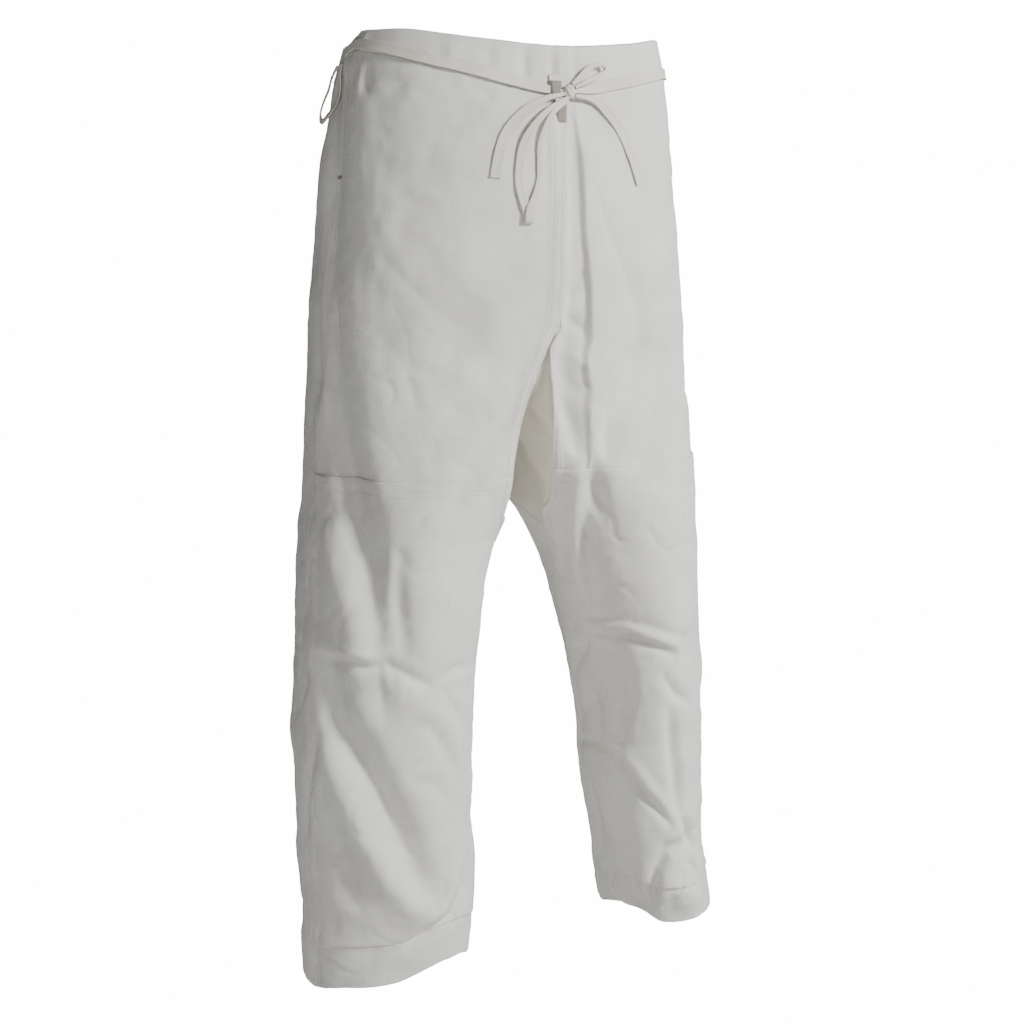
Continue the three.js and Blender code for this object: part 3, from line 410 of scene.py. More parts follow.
# Seams whose stitching gathers the cloth a little: side, height of the puckers, their reach, spacing and path.
sideSeam = {s: [(float(curveThrough(sideSeamAngle[s], z)), z) for z in np.linspace(-20, -940, 24)]
            for s in (right, left)}
inseam = {s: [(float(curveThrough(inseamAngle, z)), z) for z in np.linspace(-486, -940, 14)]
          for s in (right, left)}
puckers = []
for s in (right, left):
    puckers += [(s, 0.45, 7, 11, sideSeam[s]),
                (s, 0.9 if s == left else 0.5, 10, 13, inseam[s]),
                (s, 0.4, 7, 9, [(90, -30), (90, -258)]),
                (s, 0.5, 7, 10, [(270, -30), (270, -258)]),
                (s, 0.55, 9, 10, [(float(frontEdge(s, z)), z) for z in np.linspace(-258, -486, 9)]),
                (s, 0.5, 8, 12, [(a, -897) for a in np.linspace(0, 360, 13)])]
creases = dict(broad=2.3, broadSize=85, mid=2.4, midSize=34, fine=0.62, fineSize=11, depth=1.4,
               deepFrom=-330, deepRise=120, crumpledFrom=-230, crumpledRise=170, crumpledLeast=0.22)
crumple = dict(size=47, tall=1.9, thin=0.13, sway=11, swaySize=38, patchSize=75, small=(0.55, 0.55))


# Crumples: grooves where a swayed noise is near nought, max(0, 1 - |noise| / thin)^2, in some places only, and
# more of them from the crotch down and on the left leg than on the hips.
def crumples(base, low):
    c = crumple
    smallSize, smallShare = c["small"]
    swayed = base + c["sway"] * np.stack([softNoise(base, c["swaySize"], seed) for seed in (41, 42, 43)], -1)
    total = 0
    for size, seed, share in ((c["size"], 45, 1.0), (c["size"] * smallSize, 46, smallShare)):
        line = np.clip(1 - np.abs(softNoise(swayed, size, seed)) / c["thin"], 0, 1) ** 2
        place = smooth(1.7 * softNoise(base, c["patchSize"], seed + 10) + 0.35)
        total = total - share * c["tall"] * line * place
    return total * low


fell = dict(wide=10.6, tall=1.1, narrow=5.5, low=0.8, rows=(2.5, 9.0), groove=0.8, grooveWide=0.8)


# A felled seam: a strip that steps up beside the seam, drawn down in a groove at each row of stitches.
def fellStrip(distance, wide, tall):
    up = tall * smooth(distance / 0.9) * smooth((wide + 0.6 - distance) / 1.2)
    for row in fell["rows"]:
        if row < wide:
            up = up - fell["groove"] * np.exp(-((distance - row) / fell["grooveWide"]) ** 2)
    return up * (distance > 0)


def fellHeight(side, angle, z, scale):
    fromFront = (angle - frontEdge(side, z)) * scale
    fromBack = (backEdge(side, z) - angle) * scale
    fromSide = (curveThrough(sideSeamAngle[side], z) - angle) * scale
    wide, tall = fell["wide"], fell["tall"]
    hip, gussetZone = z > cut["gussetTop"], (z <= cut["gussetTop"]) & (z > cut["gussetSide"])
    front = fellStrip(fromFront, wide, tall) * (gussetZone | (hip & (side == right)))
    back = fellStrip(fromBack, wide, tall) * (~hip | (side == left))
    seam = (fellStrip(fromSide, wide, tall) * (z > cut["patchTop"])
            + fellStrip(-fromSide, fell["narrow"], fell["low"]) * (z <= cut["patchTop"]))
    return front + back + seam


# The cloth's larger forms over its ring: folds, then broad and middle unevenness and crumples.
def clothBody(side, angle, z, base):
    height = foldsHeight(side, angle, z)
    c = creases
    low = smooth((c["crumpledFrom"] - z) / c["crumpledRise"])
    low = (0.75 if side == right else 1.0) * low + c["crumpledLeast"]
    rough = (c["broad"] * softNoise(base, c["broadSize"], 3) + c["mid"] * softNoise(base, c["midSize"], 5)
             + crumples(base, low))
    wrapped = np.where(angle > 360, angle - 360, angle)
    scale = perDegree(side, z)
    edgeAngle = np.clip(wrapped, 90, 270)
    underBand = smooth((curveThrough(bandEdge[side], edgeAngle) - z) / 25)
    front = np.abs(angle - frontEdge(side, z)) * scale
    back = np.abs(backEdge(side, z) - angle) * scale
    hip = smooth(np.minimum(front, back) / 10)
    t = (cut["gussetSide"] - z) / 40
    tip = np.abs(np.where(wrapped > 180, wrapped - 360, wrapped) - cut["tipAngle"]) * scale
    edge = np.where(z > cut["gussetSide"], hip, np.where(t < 1, np.maximum(smooth(tip / 10), t), 1))
    deeper = 1 + (c["depth"] - 1) * smooth((c["deepFrom"] - z) / c["deepRise"])
    return (height * deeper + rough) * underBand * edge


# The whole height of the cloth: its body, fine unevenness, felled seams and the puckers beside seams.
def clothHeight(side, angle, z):
    base = basePoint(side, angle, z)
    c, scale = creases, perDegree(side, z)
    height = clothBody(side, angle, z, base)
    height = height + c["fine"] * softNoise(base, c["fineSize"], 7) + fellHeight(side, angle, z, scale)
    for seamSide, tall, reach, spacing, path in puckers:
        if seamSide != side:
            continue
        middle, levelPath = np.mean([p[0] for p in path]), path[0][1] == path[-1][1]
        stretch = [1, 1, 0.3] if levelPath else [0.35, 0.35, 1]
        top = -870 if levelPath else path[0][1] + 12
        for turn in (0, 360) if path[0][0] <= 45 else (0,):
            a = angle - turn
            near = (np.abs(a - middle) < 190) & (z < top)
            if not near.any():
                continue
            distance, _, _ = nearPath(side, a[near], z[near], path)
            wave = softNoise(base[near] * stretch, spacing, 11)
            height[near] += tall * wave * np.exp(-(distance / reach) ** 2) * (distance < 3 * reach)
    return height


# A point of the cloth: the base moved level outwards by the cloth's height, then out by a lift.
def clothPoint(side, angle, z, lift=0.0):
    angle, z = np.broadcast_arrays(np.asarray(angle, float), np.asarray(z, float))
    out = outward(side, angle, z)
    level = unit(out * [1, 1, 0])
    lift = np.broadcast_to(np.asarray(lift, float), angle.shape)
    return basePoint(side, angle, z) + level * clothHeight(side, angle, z)[..., None] + out * lift[..., None]


print("surface functions ready")


# ---- Meshes
# A piece from vertices in millimetres, faces, and a UV pair for each vertex, in millimetres of cloth.
def addPiece(name, points, faces, uvs, material, nodes=()):
    mesh = bpy.data.meshes.new(name)
    mesh.from_pydata(np.asarray(points).reshape(-1, 3) * mm, [], np.asarray(faces).tolist()
                     if not isinstance(faces, list) else faces)
    layer = mesh.uv_layers.new(name="cloth")
    index = np.empty(len(mesh.loops), np.int32)
    mesh.loops.foreach_get("vertex_index", index)
    layer.data.foreach_set("uv", (np.asarray(uvs).reshape(-1, 2)[index] * mm).astype(np.float32).ravel())
    mesh.polygons.foreach_set("use_smooth", np.ones(len(mesh.polygons), bool))
    mesh.materials.append(material)
    mesh.update()
    obj = bpy.data.objects.new(name, mesh)
    bpy.context.collection.objects.link(obj)
    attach(obj, "root")
    if nodes:
        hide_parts(*nodes)
    return obj


# Quads of a grid of rows and columns, starting at a vertex number.
def gridQuads(rows, columns, start=0, flip=False, closed=False):
    i, j = np.meshgrid(np.arange(rows - 1), np.arange(columns if closed else columns - 1), indexing="ij")
    a = start + i * columns + j
    b = start + (i + 1) * columns + j
    c = start + (i + 1) * columns + (j + 1) % columns
    d = start + i * columns + (j + 1) % columns
    quads = np.stack([a, b, c, d], -1).reshape(-1, 4)
    return quads[:, ::-1] if flip else quads


# A closed shell between two grids of points: the outer one, the inner one and the rim that joins them.
def shell(outer, inner, flip=False):
    rows, columns = outer.shape[:2]
    size = rows * columns
    border = np.concatenate([np.arange(columns - 1), np.arange(rows - 1) * columns + columns - 1,
                             (rows - 1) * columns + np.arange(columns - 1, 0, -1),
                             np.arange(rows - 1, 0, -1) * columns])
    after = np.roll(border, -1)
    rim = np.stack([border, after, after + size, border + size], -1)
    if flip:
        rim = rim[:, ::-1]
    faces = np.concatenate([gridQuads(rows, columns, 0, flip), gridQuads(rows, columns, size, not flip), rim])
    return np.concatenate([outer.reshape(-1, 3), inner.reshape(-1, 3)]), faces


# A cotton piece that is a shell, with the same UVs on its outer and its inner face.
def shellPiece(name, outer, inner, uvs, material, flip=False, nodes=()):
    points, faces = shell(outer, inner, flip)
    obj = addPiece(name, points, faces, np.concatenate([uvs.reshape(-1, 2)] * 2), material, nodes)
    print(name, len(faces))
    return obj


# Stations along a line: evenly spaced by 'step', and by 'fine' within 'reach' of the named places.
def stations(start, end, step, places=(), fine=1.2, reach=5.0):
    values = list(np.linspace(start, end, max(2, int(abs(end - start) / step) + 1)))
    low, high = min(start, end), max(start, end)
    for place in places:
        values = [v for v in values if abs(v - place) > reach or v in (start, end)]
        values += [v for v in np.arange(place - reach, place + reach + fine / 2, fine) if low < v < high]
    values = np.array(sorted(set(np.round(values, 3))))
    keep = np.concatenate([[True], np.diff(values) > fine * 0.45])
    keep[-1] = True
    values = values[keep]
    return values if start < end else values[::-1]


# ---- Materials
# sRGB hex to the linear numbers that Blender keeps: c / 12.92 below 0.04045, else ((c + 0.055) / 1.055)^2.4
def linear(hexColour, alpha=1.0):
    c = np.array([int(hexColour[i:i + 2], 16) for i in (1, 3, 5)]) / 255
    return (*np.where(c <= 0.04045, c / 12.92, ((c + 0.055) / 1.055) ** 2.4).tolist(), alpha)


# One node with its settings (properties or input values) and its links from other sockets.
def addNode(tree, kind, settings=None, links=None):
    made = tree.nodes.new(kind)
    for key, value in (settings or {}).items():
        if isinstance(key, str) and hasattr(made, key):
            setattr(made, key, value)
        else:
            made.inputs[key].default_value = value
    for key, socket in (links or {}).items():
        tree.links.new(socket, made.inputs[key])
    return made


# Cotton drill or tape: matt, with a faint fuzz. The weave's diagonal is drawn 1.5 mm wide, three times the real
# spacing, because the real one is too fine to show; slubs and handling give it a soft unevenness.
def cottonCloth(name, light, dark, weave, weaveAngle, fleck=0.5, roughness=0.93, sheen=0.12):
    material = bpy.data.materials.new(name)
    material.use_nodes = True
    tree = material.node_tree
    tree.nodes.clear()
    place = addNode(tree, "ShaderNodeTexCoord")
    turned = addNode(tree, "ShaderNodeMapping", {"Rotation": (0, 0, math.radians(weaveAngle))},
                     {"Vector": place.outputs["UV"]})
    diagonal = addNode(tree, "ShaderNodeTexWave", {"wave_type": "BANDS", "bands_direction": "X",
                       "Scale": 0.314 / (weave * mm), "Distortion": 0.6, "Detail": 1.0, "Detail Scale": 2.0},
                       {"Vector": turned.outputs["Vector"]})
    slubs = [addNode(tree, "ShaderNodeTexNoise", {"Scale": 1 / 0.0036, "Detail": 3.0, "Roughness": 0.6},
                     {"Vector": addNode(tree, "ShaderNodeMapping", {"Scale": stretch},
                                        {"Vector": place.outputs["UV"]}).outputs["Vector"]}).outputs["Fac"]
             for stretch in ((1.0, 0.12, 1.0), (0.12, 1.0, 1.0))]
    slub = addNode(tree, "ShaderNodeMath", {"operation": "ADD"}, {0: slubs[0], 1: slubs[1]})
    slub = addNode(tree, "ShaderNodeMath", {"operation": "MULTIPLY", 1: 0.8}, {0: slub.outputs["Value"]})
    fuzz = addNode(tree, "ShaderNodeTexNoise", {"Scale": 1 / 0.0011, "Detail": 2.0, "Roughness": 0.7},
                   {"Vector": place.outputs["UV"]})
    wear = addNode(tree, "ShaderNodeTexNoise", {"Scale": 11.0, "Detail": 4.0, "Roughness": 0.55},
                   {"Vector": place.outputs["Object"]})
    tone = addNode(tree, "ShaderNodeMix", {"data_type": "RGBA", 6: linear(dark), 7: linear(light)},
                   {"Factor": addNode(tree, "ShaderNodeMapRange", {"From Min": 0.3, "From Max": 0.62},
                                      {"Value": wear.outputs["Fac"]}).outputs["Result"]})
    grain = addNode(tree, "ShaderNodeMath", {"operation": "MULTIPLY_ADD", 1: 0.16, 2: 0.2},
                    {0: diagonal.outputs["Fac"]})
    grain = addNode(tree, "ShaderNodeMath", {"operation": "MULTIPLY_ADD", 1: fleck},
                    {0: slub.outputs["Value"], 2: grain.outputs["Value"]})
    grain = addNode(tree, "ShaderNodeMath", {"operation": "MULTIPLY_ADD", 1: 0.45},
                    {0: fuzz.outputs["Fac"], 2: grain.outputs["Value"]})
    shade = addNode(tree, "ShaderNodeMapRange",
                    {"From Min": 0.45, "From Max": 1.25, "To Min": 0.9, "To Max": 1.04},
                    {"Value": grain.outputs["Value"]})
    colour = addNode(tree, "ShaderNodeVectorMath", {"operation": "SCALE"},
                     {0: tone.outputs[2], "Scale": shade.outputs["Result"]})
    bump = addNode(tree, "ShaderNodeBump", {"Strength": 0.8, "Distance": 0.0004},
                   {"Height": grain.outputs["Value"]})
    surface = addNode(tree, "ShaderNodeBsdfPrincipled",
                      {"Roughness": roughness, "IOR": 1.45, "Specular IOR Level": 0.25, "Sheen Weight": sheen,
                       "Sheen Roughness": 0.5},
                      {"Base Color": colour.outputs["Vector"], "Normal": bump.outputs["Normal"]})
    addNode(tree, "ShaderNodeOutputMaterial", None, {"Surface": surface.outputs["BSDF"]})
    return material


bleachedDrill = cottonCloth("bleached cotton drill", "#DEDDD8", "#D6D4CD", 1.5, 58)
# The gusset's cream drill is painted a little lighter than the other drill, as painted fill light for the shade in
# the crotch's recess; its cream tint is the cloth's own.
creamDrillPaintedFill = cottonCloth("cream cotton drill, painted lighter", "#E1DED3", "#DBD7CA", 1.5, -58)
wovenTape = cottonCloth("woven cotton tape", "#DDDAD0", "#CFCBBE", 1.3, 90, fleck=0.7, sheen=0.2)
whiteThread = cottonCloth("white sewing thread", "#E2E0DA", "#D6D3CA", 0.7, 35, roughness=0.7)
greyThread = cottonCloth("grey bartack thread", "#958C85", "#857C76", 0.7, 35, roughness=0.7)
print("materials ready")

# ---- Drawstring
# Centripetal Catmull-Rom through the points, at evenly spaced places in its segments.
def throughPoints(points, count):
    p = np.asarray(points, float)
    p = np.concatenate([[2 * p[0] - p[1]], p, [2 * p[-1] - p[-2]]])
    place = np.linspace(0, len(p) - 3, count)
    i = np.minimum(len(p) - 4, np.floor(place + 1e-9).astype(int))
    t = (place - i)[:, None]
    a, b, c, d = p[i], p[i + 1], p[i + 2], p[i + 3]
    gap = lambda u, v: np.sqrt(np.linalg.norm(v - u, axis=-1, keepdims=True)) + 1e-6
    ab, bc, cd = gap(a, b), gap(b, c), gap(c, d)
    m1 = ((b - a) / ab - (c - a) / (ab + bc) + (c - b) / bc) * bc
    m2 = ((c - b) / bc - (d - b) / (bc + cd) + (d - c) / cd) * bc
    return ((2 * t**3 - 3 * t**2 + 1) * b + (t**3 - 2 * t**2 + t) * m1
            + (-2 * t**3 + 3 * t**2) * c + (t**3 - t**2) * m2)


# A strand's rows are (side, angle, height, lift, width) on the cloth, or (point, outward, width).
def strandPath(rows, count):
    points, outs, widths = [], [], []
    for row in rows:
        if len(row) == 5:
            side, angle, z, lift, width = row
            out = outwardAt(side, angle, z)
            points.append(clothCore(side, angle, z) + out * lift)
        else:
            point, out, width = row
            points.append(point)
        outs.append(out)
        widths.append(width)
    place = np.linspace(0, len(rows) - 1, count)
    i = np.minimum(len(rows) - 2, place.astype(int))
    t = (place - i)[:, None]
    outs, widths = np.array(outs), np.array(widths)
    out = unit(outs[i] * (1 - t) + outs[i + 1] * t)
    width = widths[i] * (1 - t[:, 0]) + widths[i + 1] * t[:, 0]
    return throughPoints(points, count), out, width


# The cloth that carries the tape, without its fine unevenness.
def clothCore(side, angle, z):
    a, h = np.array([float(angle)]), np.array([float(z)])
    level = unit(outward(side, a, h) * [1, 1, 0])
    base = basePoint(side, a, h)
    return (base + level * clothBody(side, a, h, base)[:, None])[0]


# Flat tape: a rounded strip section (width cos, thick sin) whose width is gathered into three ridges where it
# is narrower than the tape, cupped a little by 'cup', with its ends closed.
tape = dict(around=20, step=1.4, cup=0.55, ridge=0.2)


def tapeSurface(rows, thick=None, wide=None):
    thick, wide = thick or cut["tapeThick"], wide or cut["tapeWide"]
    rough, _, _ = strandPath(rows, 60)
    length = np.linalg.norm(np.diff(rough, axis=0), axis=1).sum()
    count = max(12, int(length / tape["step"]))
    path, out, width = strandPath(rows, count)
    width = np.convolve(np.pad(width, 3, mode="edge"), np.ones(7) / 7, mode="valid")
    along = unit(np.gradient(path, axis=0))
    across = unit(np.cross(along, out))
    up = unit(np.cross(across, along))
    a = np.linspace(0, 2 * np.pi, tape["around"], endpoint=False)
    x = signedPower(np.cos(a), 0.35)[None] * width[:, None] / 2
    gather = np.clip(wide - width, 0, None)[:, None]
    share = x / (width[:, None] / 2)
    y = (signedPower(np.sin(a), 0.6)[None] * (thick / 2 + 0.06 * gather)
         + tape["cup"] * (share ** 2 - 0.4) * np.minimum(1, width[:, None] / wide)
         + tape["ridge"] * gather * np.cos(share * 2.6 * np.pi) * 0.8)
    points = path[:, None] + across[:, None] * x[..., None] + up[:, None] * y[..., None]
    run = np.concatenate([[0], np.cumsum(np.linalg.norm(np.diff(path, axis=0), axis=1))])
    uvs = np.stack([x, np.broadcast_to(run[:, None], x.shape)], -1)
    n = tape["around"]
    faces = gridQuads(count, n, 0, True, closed=True).tolist()
    faces += [list(range(n)), [(count - 1) * n + k for k in range(n)][::-1]]
    return points, faces, uvs, path, run[-1]


knot = dict(size=(6.2, 4.4, 7.2), angle=91.5, height=-25.0, lift=1.5, rows=28, around=48, pole=0.86)
knotOut = outwardAt(left, knot["angle"], knot["height"])
knotAt = clothCore(left, knot["angle"], knot["height"]) + knotOut * (knot["lift"] + knot["size"][1])


# Start of a strand on the knot: its direction in degrees from the wearer's left, and its depth in front.
def fromKnot(direction, depth, width):
    inner = max(0, abs(depth) - 0.8)
    around = math.sqrt(1 - (inner / knot["size"][1]) ** 2)
    a = math.radians(direction)
    reach = [knot["size"][0] * around + 0.2, knot["size"][2] * around + 0.2]
    return knotAt + np.array([reach[0] * math.cos(a), -depth, reach[1] * math.sin(a)]), knotOut, width


# A row where the tape turns over: its outward side is tipped up by an angle, 180 for the wrong side.
def turnedRow(side, angle, z, lift, width, tip):
    out = outwardAt(side, angle, z)
    a = math.radians(tip)
    return clothCore(side, angle, z) + out * lift, out * math.cos(a) + np.array([0, 0, math.sin(a)]), width


w = cut["tapeWide"]
strands = {
    "tapeRunRight": dict(node="tape_run_right", rows=[
        (right, 179, 9, 2, 7), (right, 170, 7, 2, 10), (right, 156, 3.5, 2, w), (right, 138, -4, 2, w),
        (right, 119, -9.5, 2, w), (right, 107, -15.5, 2, w), (right, 96, -22, 2.2, 9),
        (right, 91.6, -24.2, 2.3, 6), fromKnot(180, -1.9, 4)]),
    "tapeRunLeft": dict(node="tape_run_left", rows=[
        fromKnot(4, -1.9, 4), (left, 99.2, -23, 2.1, 8), (left, 104, -20.6, 2, w), (left, 116, -17, 2, w),
        (left, 130, -14, 2, w), (left, 146, -13, 2, w), (left, 160, -13, 2, w), (left, 174, -13, 2, 10),
        (left, 179, -13, 2, 8)]),
    "tapeEndRight": dict(node="tape_end_right", rows=[
        fromKnot(198, 1.6, 3), (right, 95.4, -32.5, 7, 5.5), (right, 99.8, -41.5, 5, 10),
        (right, 104.2, -55, 2.4, w), (right, 107.4, -70, 1.6, w), (right, 109.2, -86, 1.2, w),
        (right, 110, -99, 1.1, w), (right, 110.5, -114, 1.1, w)]),
    "bowLoopLong": dict(node="bow_loop_long", rows=[
        fromKnot(237, 3.4, 3), (right, 95.2, -44, 7.6, 5.5), (right, 99.4, -60, 5.2, 7.5),
        (right, 102.2, -78, 3, 9), (right, 103.3, -98, 2, 9), (right, 103.3, -120, 1.8, 9.5),
        (right, 102.0, -136, 1.8, 9.5), turnedRow(right, 100.7, -148, 1.7, w, 0),
        turnedRow(right, 100.3, -156, 1.8, w, 25), turnedRow(right, 100.2, -158.6, 3.2, w, 90),
        turnedRow(right, 100.2, -156, 4.6, w, 155), turnedRow(right, 100, -146, 4.5, w, 180),
        turnedRow(right, 98.2, -130, 3, 9.5, 180), turnedRow(right, 97.0, -114, 2.2, 8.5, 180),
        turnedRow(right, 96.9, -98, 2.2, 8.5, 180), turnedRow(right, 97.0, -80, 2.8, 8, 180),
        turnedRow(right, 96.2, -64, 4.8, 6, 180), turnedRow(right, 93.8, -47, 7.4, 4.6, 180),
        (fromKnot(262, 1.2, 2.4)[0], -knotOut, 2.4)]),
    "tapeEndLeft": dict(node="tape_end_left", rows=[
        fromKnot(-30, 1.2, 3), (left, 99.8, -33, 4.2, 7), (left, 104.4, -42, 2.2, w), (left, 109, -57, 1.4, w),
        (left, 113, -75, 1.2, w), (left, 116.8, -98, 1.1, w), (left, 120.5, -121, 1.1, w)]),
    "bowLoopShort": dict(node="bow_loop_short", rows=[
        fromKnot(66, 0, 3), (left, 95.2, -11, 4.6, 5), (left, 97.6, -4.6, 4.6, 6.4), (left, 100.2, 0, 5, 5.6),
        (left, 103, 1, 5.8, 4), (left, 104.9, -2, 6.8, 3.2), (left, 104.2, -6.6, 7.8, 3.8),
        (left, 101, -10.4, 8.8, 5.4), (left, 97.4, -14.8, 9, 5), fromKnot(32, 2.2, 3)]),
    "sideLoop": dict(node="side_loop", rows=[
        (right, 181.5, 1, 1.95, 7), (right, 182.2, -9, 2.1, 9), (right, 183.8, -22, 1.8, 10.5),
        (right, 186, -36, 2.2, 10), (right, 187.8, -47, 3.6, 8), (right, 190.6, -53.5, 5.8, 5),
        (right, 193, -47, 8, 8), (right, 192, -36, 7.8, 10), (right, 189.6, -22, 6.8, 10.5),
        (right, 186.8, -10, 5.4, 9), (right, 185.8, 2, 2.6, 6)]),
}
for name, s in strands.items():
    points, faces, uvs, path, length = tapeSurface(s["rows"])
    s["piece"] = addPiece(name, points, faces, uvs, wovenTape, [s["node"]])
    s["path"], s["length"] = path * mm, length * mm

# The knot is a ball wrapped by three turns of tape: its radius swells by |sin| of a slanted angle.
n, m = knot["rows"], knot["around"]
a, b = np.meshgrid(np.linspace(0, 2 * np.pi, m, endpoint=False), np.linspace(0.12, np.pi - 0.12, n))
ball = np.stack([np.cos(a) * np.sin(b), np.sin(a) * np.sin(b), np.cos(b)], -1)
slant = 2.2 * ball[..., 0] + 1.2 * ball[..., 2] + 0.5 * np.sin(2 * a)
ball = ball * (knot["pole"] + 0.17 * np.abs(np.sin(2.4 * slant))[..., None])
pole = np.array([0, 0, knot["pole"] * knot["size"][2]])
points = np.concatenate([(knotAt + ball * knot["size"]).reshape(-1, 3), [knotAt + pole, knotAt - pole]])
faces = gridQuads(n, m, 0, True, closed=True).tolist()
faces += [[n * m, k, (k + 1) % m] for k in range(m)]
faces += [[n * m + 1, (n - 1) * m + (k + 1) % m, (n - 1) * m + k] for k in range(m)]
uvs = np.concatenate([np.stack([a * 5, b * 6], -1).reshape(-1, 2), [[0, 0], [0, 18]]])
bowKnot = addPiece("bowKnot", points, faces, uvs, wovenTape, ["bow_knot"])

for name, farEnd, lay, others in (
        ("tapeRunRight", "object", "taut", []), ("tapeRunLeft", "object", "taut", []),
        ("tapeEndRight", "bare", "hanging", [bowKnot]),
        ("tapeEndLeft", "bare", "hanging", [strands["bowLoopShort"]["piece"]]),
        ("bowLoopLong", "object", "hanging", []), ("sideLoop", "object", "hanging", [])):
    s = strands[name]
print("drawstring", {name: round(s["length"], 3) for name, s in strands.items()})

# ---- Panels
panel = dict(step=3.6, fine=1.1, reach=12.4, perMetre=950)  # perMetre: millimetres of columns for a metre of cloth
patch = dict(step=3.4, foot=-894, trim=1.2)
farRows = stations(-20, cut["hem"], panel["step"], [-20, -582, -594, -898, -940], 1.3, 8)


# Heights of a row at each angle: from the waistband's edge at the top, level from 100 mm down.
def rowHeight(side, row, angle):
    top = curveThrough(bandEdge[side], np.clip(angle, 90, 270)) - cut["seamGap"] / 2
    return np.where(row < -100, row, -100 + (top + 100) * (row + 100) / 80)


# A panel is a grid from one edge to the other at each height; its wall is one layer, and as thick as
# the turned-up layers in the hem, whose foot is rounded.
def panelGrid(side, rows, fromEdge, toEdge, shares, thick):
    start, end = fromEdge(rows), toEdge(rows)
    inset = cut["seamGap"] / 2 / perDegree(side, rows)
    angle = (start + inset)[:, None] + ((end - inset) - (start + inset))[:, None] * shares[None]
    z = rowHeight(side, rows[:, None], angle)
    outer = clothPoint(side, angle, z)
    inner = outer - outward(side, angle, z) * thick[:, None, None]
    middle = 90 if start[0] < 100 else 270
    return outer, inner, np.stack([(angle - middle) * perDegree(side, z), z], -1)


def wallThickness(rows):
    t = smooth((-893 - rows) / 4)
    return cut["cloth"] + (cut["hemCloth"] - cut["cloth"]) * t


def roundFoot(outer, inner):
    for grid in (outer, inner):
        grid[-1] += (outer[-1] + inner[-1] - 2 * grid[-1]) * 0.25
        grid[-1] += (grid[-2] - grid[-1]) * 0.1


# The lines of a half's front edge, side seam and back edge: the angle at a height.
def edgeLines(side):
    return (lambda z: frontEdge(side, z), lambda z: curveThrough(sideSeamAngle[side], z),
            lambda z: backEdge(side, z))


sheets = {}
words = {right: "Right", left: "Left"}
flatSizes = {("front", right): (0.33, 0.96, 0.223), ("front", left): (0.345, 0.96, 0.243),
             ("back", right): (0.40, 0.96, 0.279), ("back", left): (0.385, 0.96, 0.262),
             ("patch", right): (0.27, 0.50, 0.121), ("patch", left): (0.30, 0.50, 0.137)}
for side in (right, left):
    word = words[side]
    front, seam, back = edgeLines(side)
    for part, fromEdge, toEdge in (("front", front, seam), ("back", seam, back)):
        wide = flatSizes[(part, side)][0] * panel["perMetre"]
        sharp = [0, 18, 36, wide] if (part, side) == ("front", left) else [0, wide]
        shares = stations(0, wide, panel["step"], sharp, panel["fine"], panel["reach"]) / wide
        outer, inner, uvs = panelGrid(side, farRows, fromEdge, toEdge, shares, wallThickness(farRows))
        roundFoot(outer, inner)
        sheets[(part, side)] = shellPiece(f"{part}Panel{word}", outer, inner, uvs, bleachedDrill,
                                          side == right, [f"{part}_{word.lower()}"])
    top, foot = cut["patchTop"], patch["foot"]
    rows = stations(top, foot, patch["step"], [top, -420, foot], 1.2, 5)
    wide = flatSizes[("patch", side)][0] * panel["perMetre"]
    shares = stations(0, wide, patch["step"], [0, wide], panel["fine"], panel["reach"]) / wide
    trim = patch["trim"] / perDegree(side, rows)
    start, end = front(rows) + trim, seam(rows) - trim
    angle = start[:, None] + (end - start)[:, None] * shares[None]
    z = np.broadcast_to(rows[:, None], angle.shape)
    # turned-in edges make the patch thicker for 9 mm along its border, and it is drawn down at the stitches
    fromSide = np.minimum(shares, 1 - shares)[None] * wide
    fromEnd = np.minimum(top - rows, rows - foot)[:, None]
    rim = np.minimum(fromSide, np.maximum(fromEnd, 0))
    lift = (cut["patchGap"] + cut["patchCloth"] + 0.5 * smooth((11 - rim) / 2.5)
            - 0.7 * smooth((1.5 - rim) / 1.5))
    uvs = np.stack([(angle - 90) * perDegree(side, z), z], -1)
    sheets[("patch", side)] = shellPiece(f"kneePatch{word}", clothPoint(side, angle, z, lift),
                                         clothPoint(side, angle, z, cut["patchGap"]), uvs, bleachedDrill,
                                         side == right, [f"knee_patch_{word.lower()}"])

# ---- Waistband casing: up its outer face, over the rounded rim and down its inner face
band = dict(step=3.0, rise=1.8, turn=9, uneven=0.35, deeper=2.1)
bandCreases = [  # side, angle, height of the crease, its width, from and to heights
    (right, 101.5, -1.6, 3.0, 12, -16), (right, 92.2, -1.5, 2.2, 12, -14), (right, 90.8, 1.2, 2.0, 10, -10),
    (left, 94.5, -1.3, 2.4, 14, -12), (left, 92, 1.0, 2.4, 14, -14), (right, 113, -0.8, 4, 14, -12),
    (right, 126, 0.6, 5, 14, -8), (left, 118, -0.7, 5, 12, -14), (right, 172, -1.4, 3.5, 14, -2),
    (right, 165, 0.9, 4, 16, 0), (left, 140, 0.6, 6, 14, -12), (right, 215, -1.0, 4, 14, -14),
    (right, 236, 0.9, 5, 14, -14), (left, 212, -0.9, 5, 14, -14), (left, 244, -1.1, 4, 14, -14),
    (left, 262, 0.9, 4, 14, -14), (right, 256, -1.0, 4, 14, -14)]


def bandHeight(side, angle, z):
    height = band["uneven"] * softNoise(basePoint(side, angle, z) * [1, 1, 0.3], 13, 21)
    scale = perDegree(side, z)
    for s, at, tall, wide, top, bottom in bandCreases:
        if s == side:
            t = np.clip((top - z) / (top - bottom), 0, 1)
            ridge = np.exp(-((angle - at) * scale / wide) ** 2 / 2)
            height = height + band["deeper"] * tall * ridge * np.sin(np.pi * (0.12 + 0.76 * t))
    return height


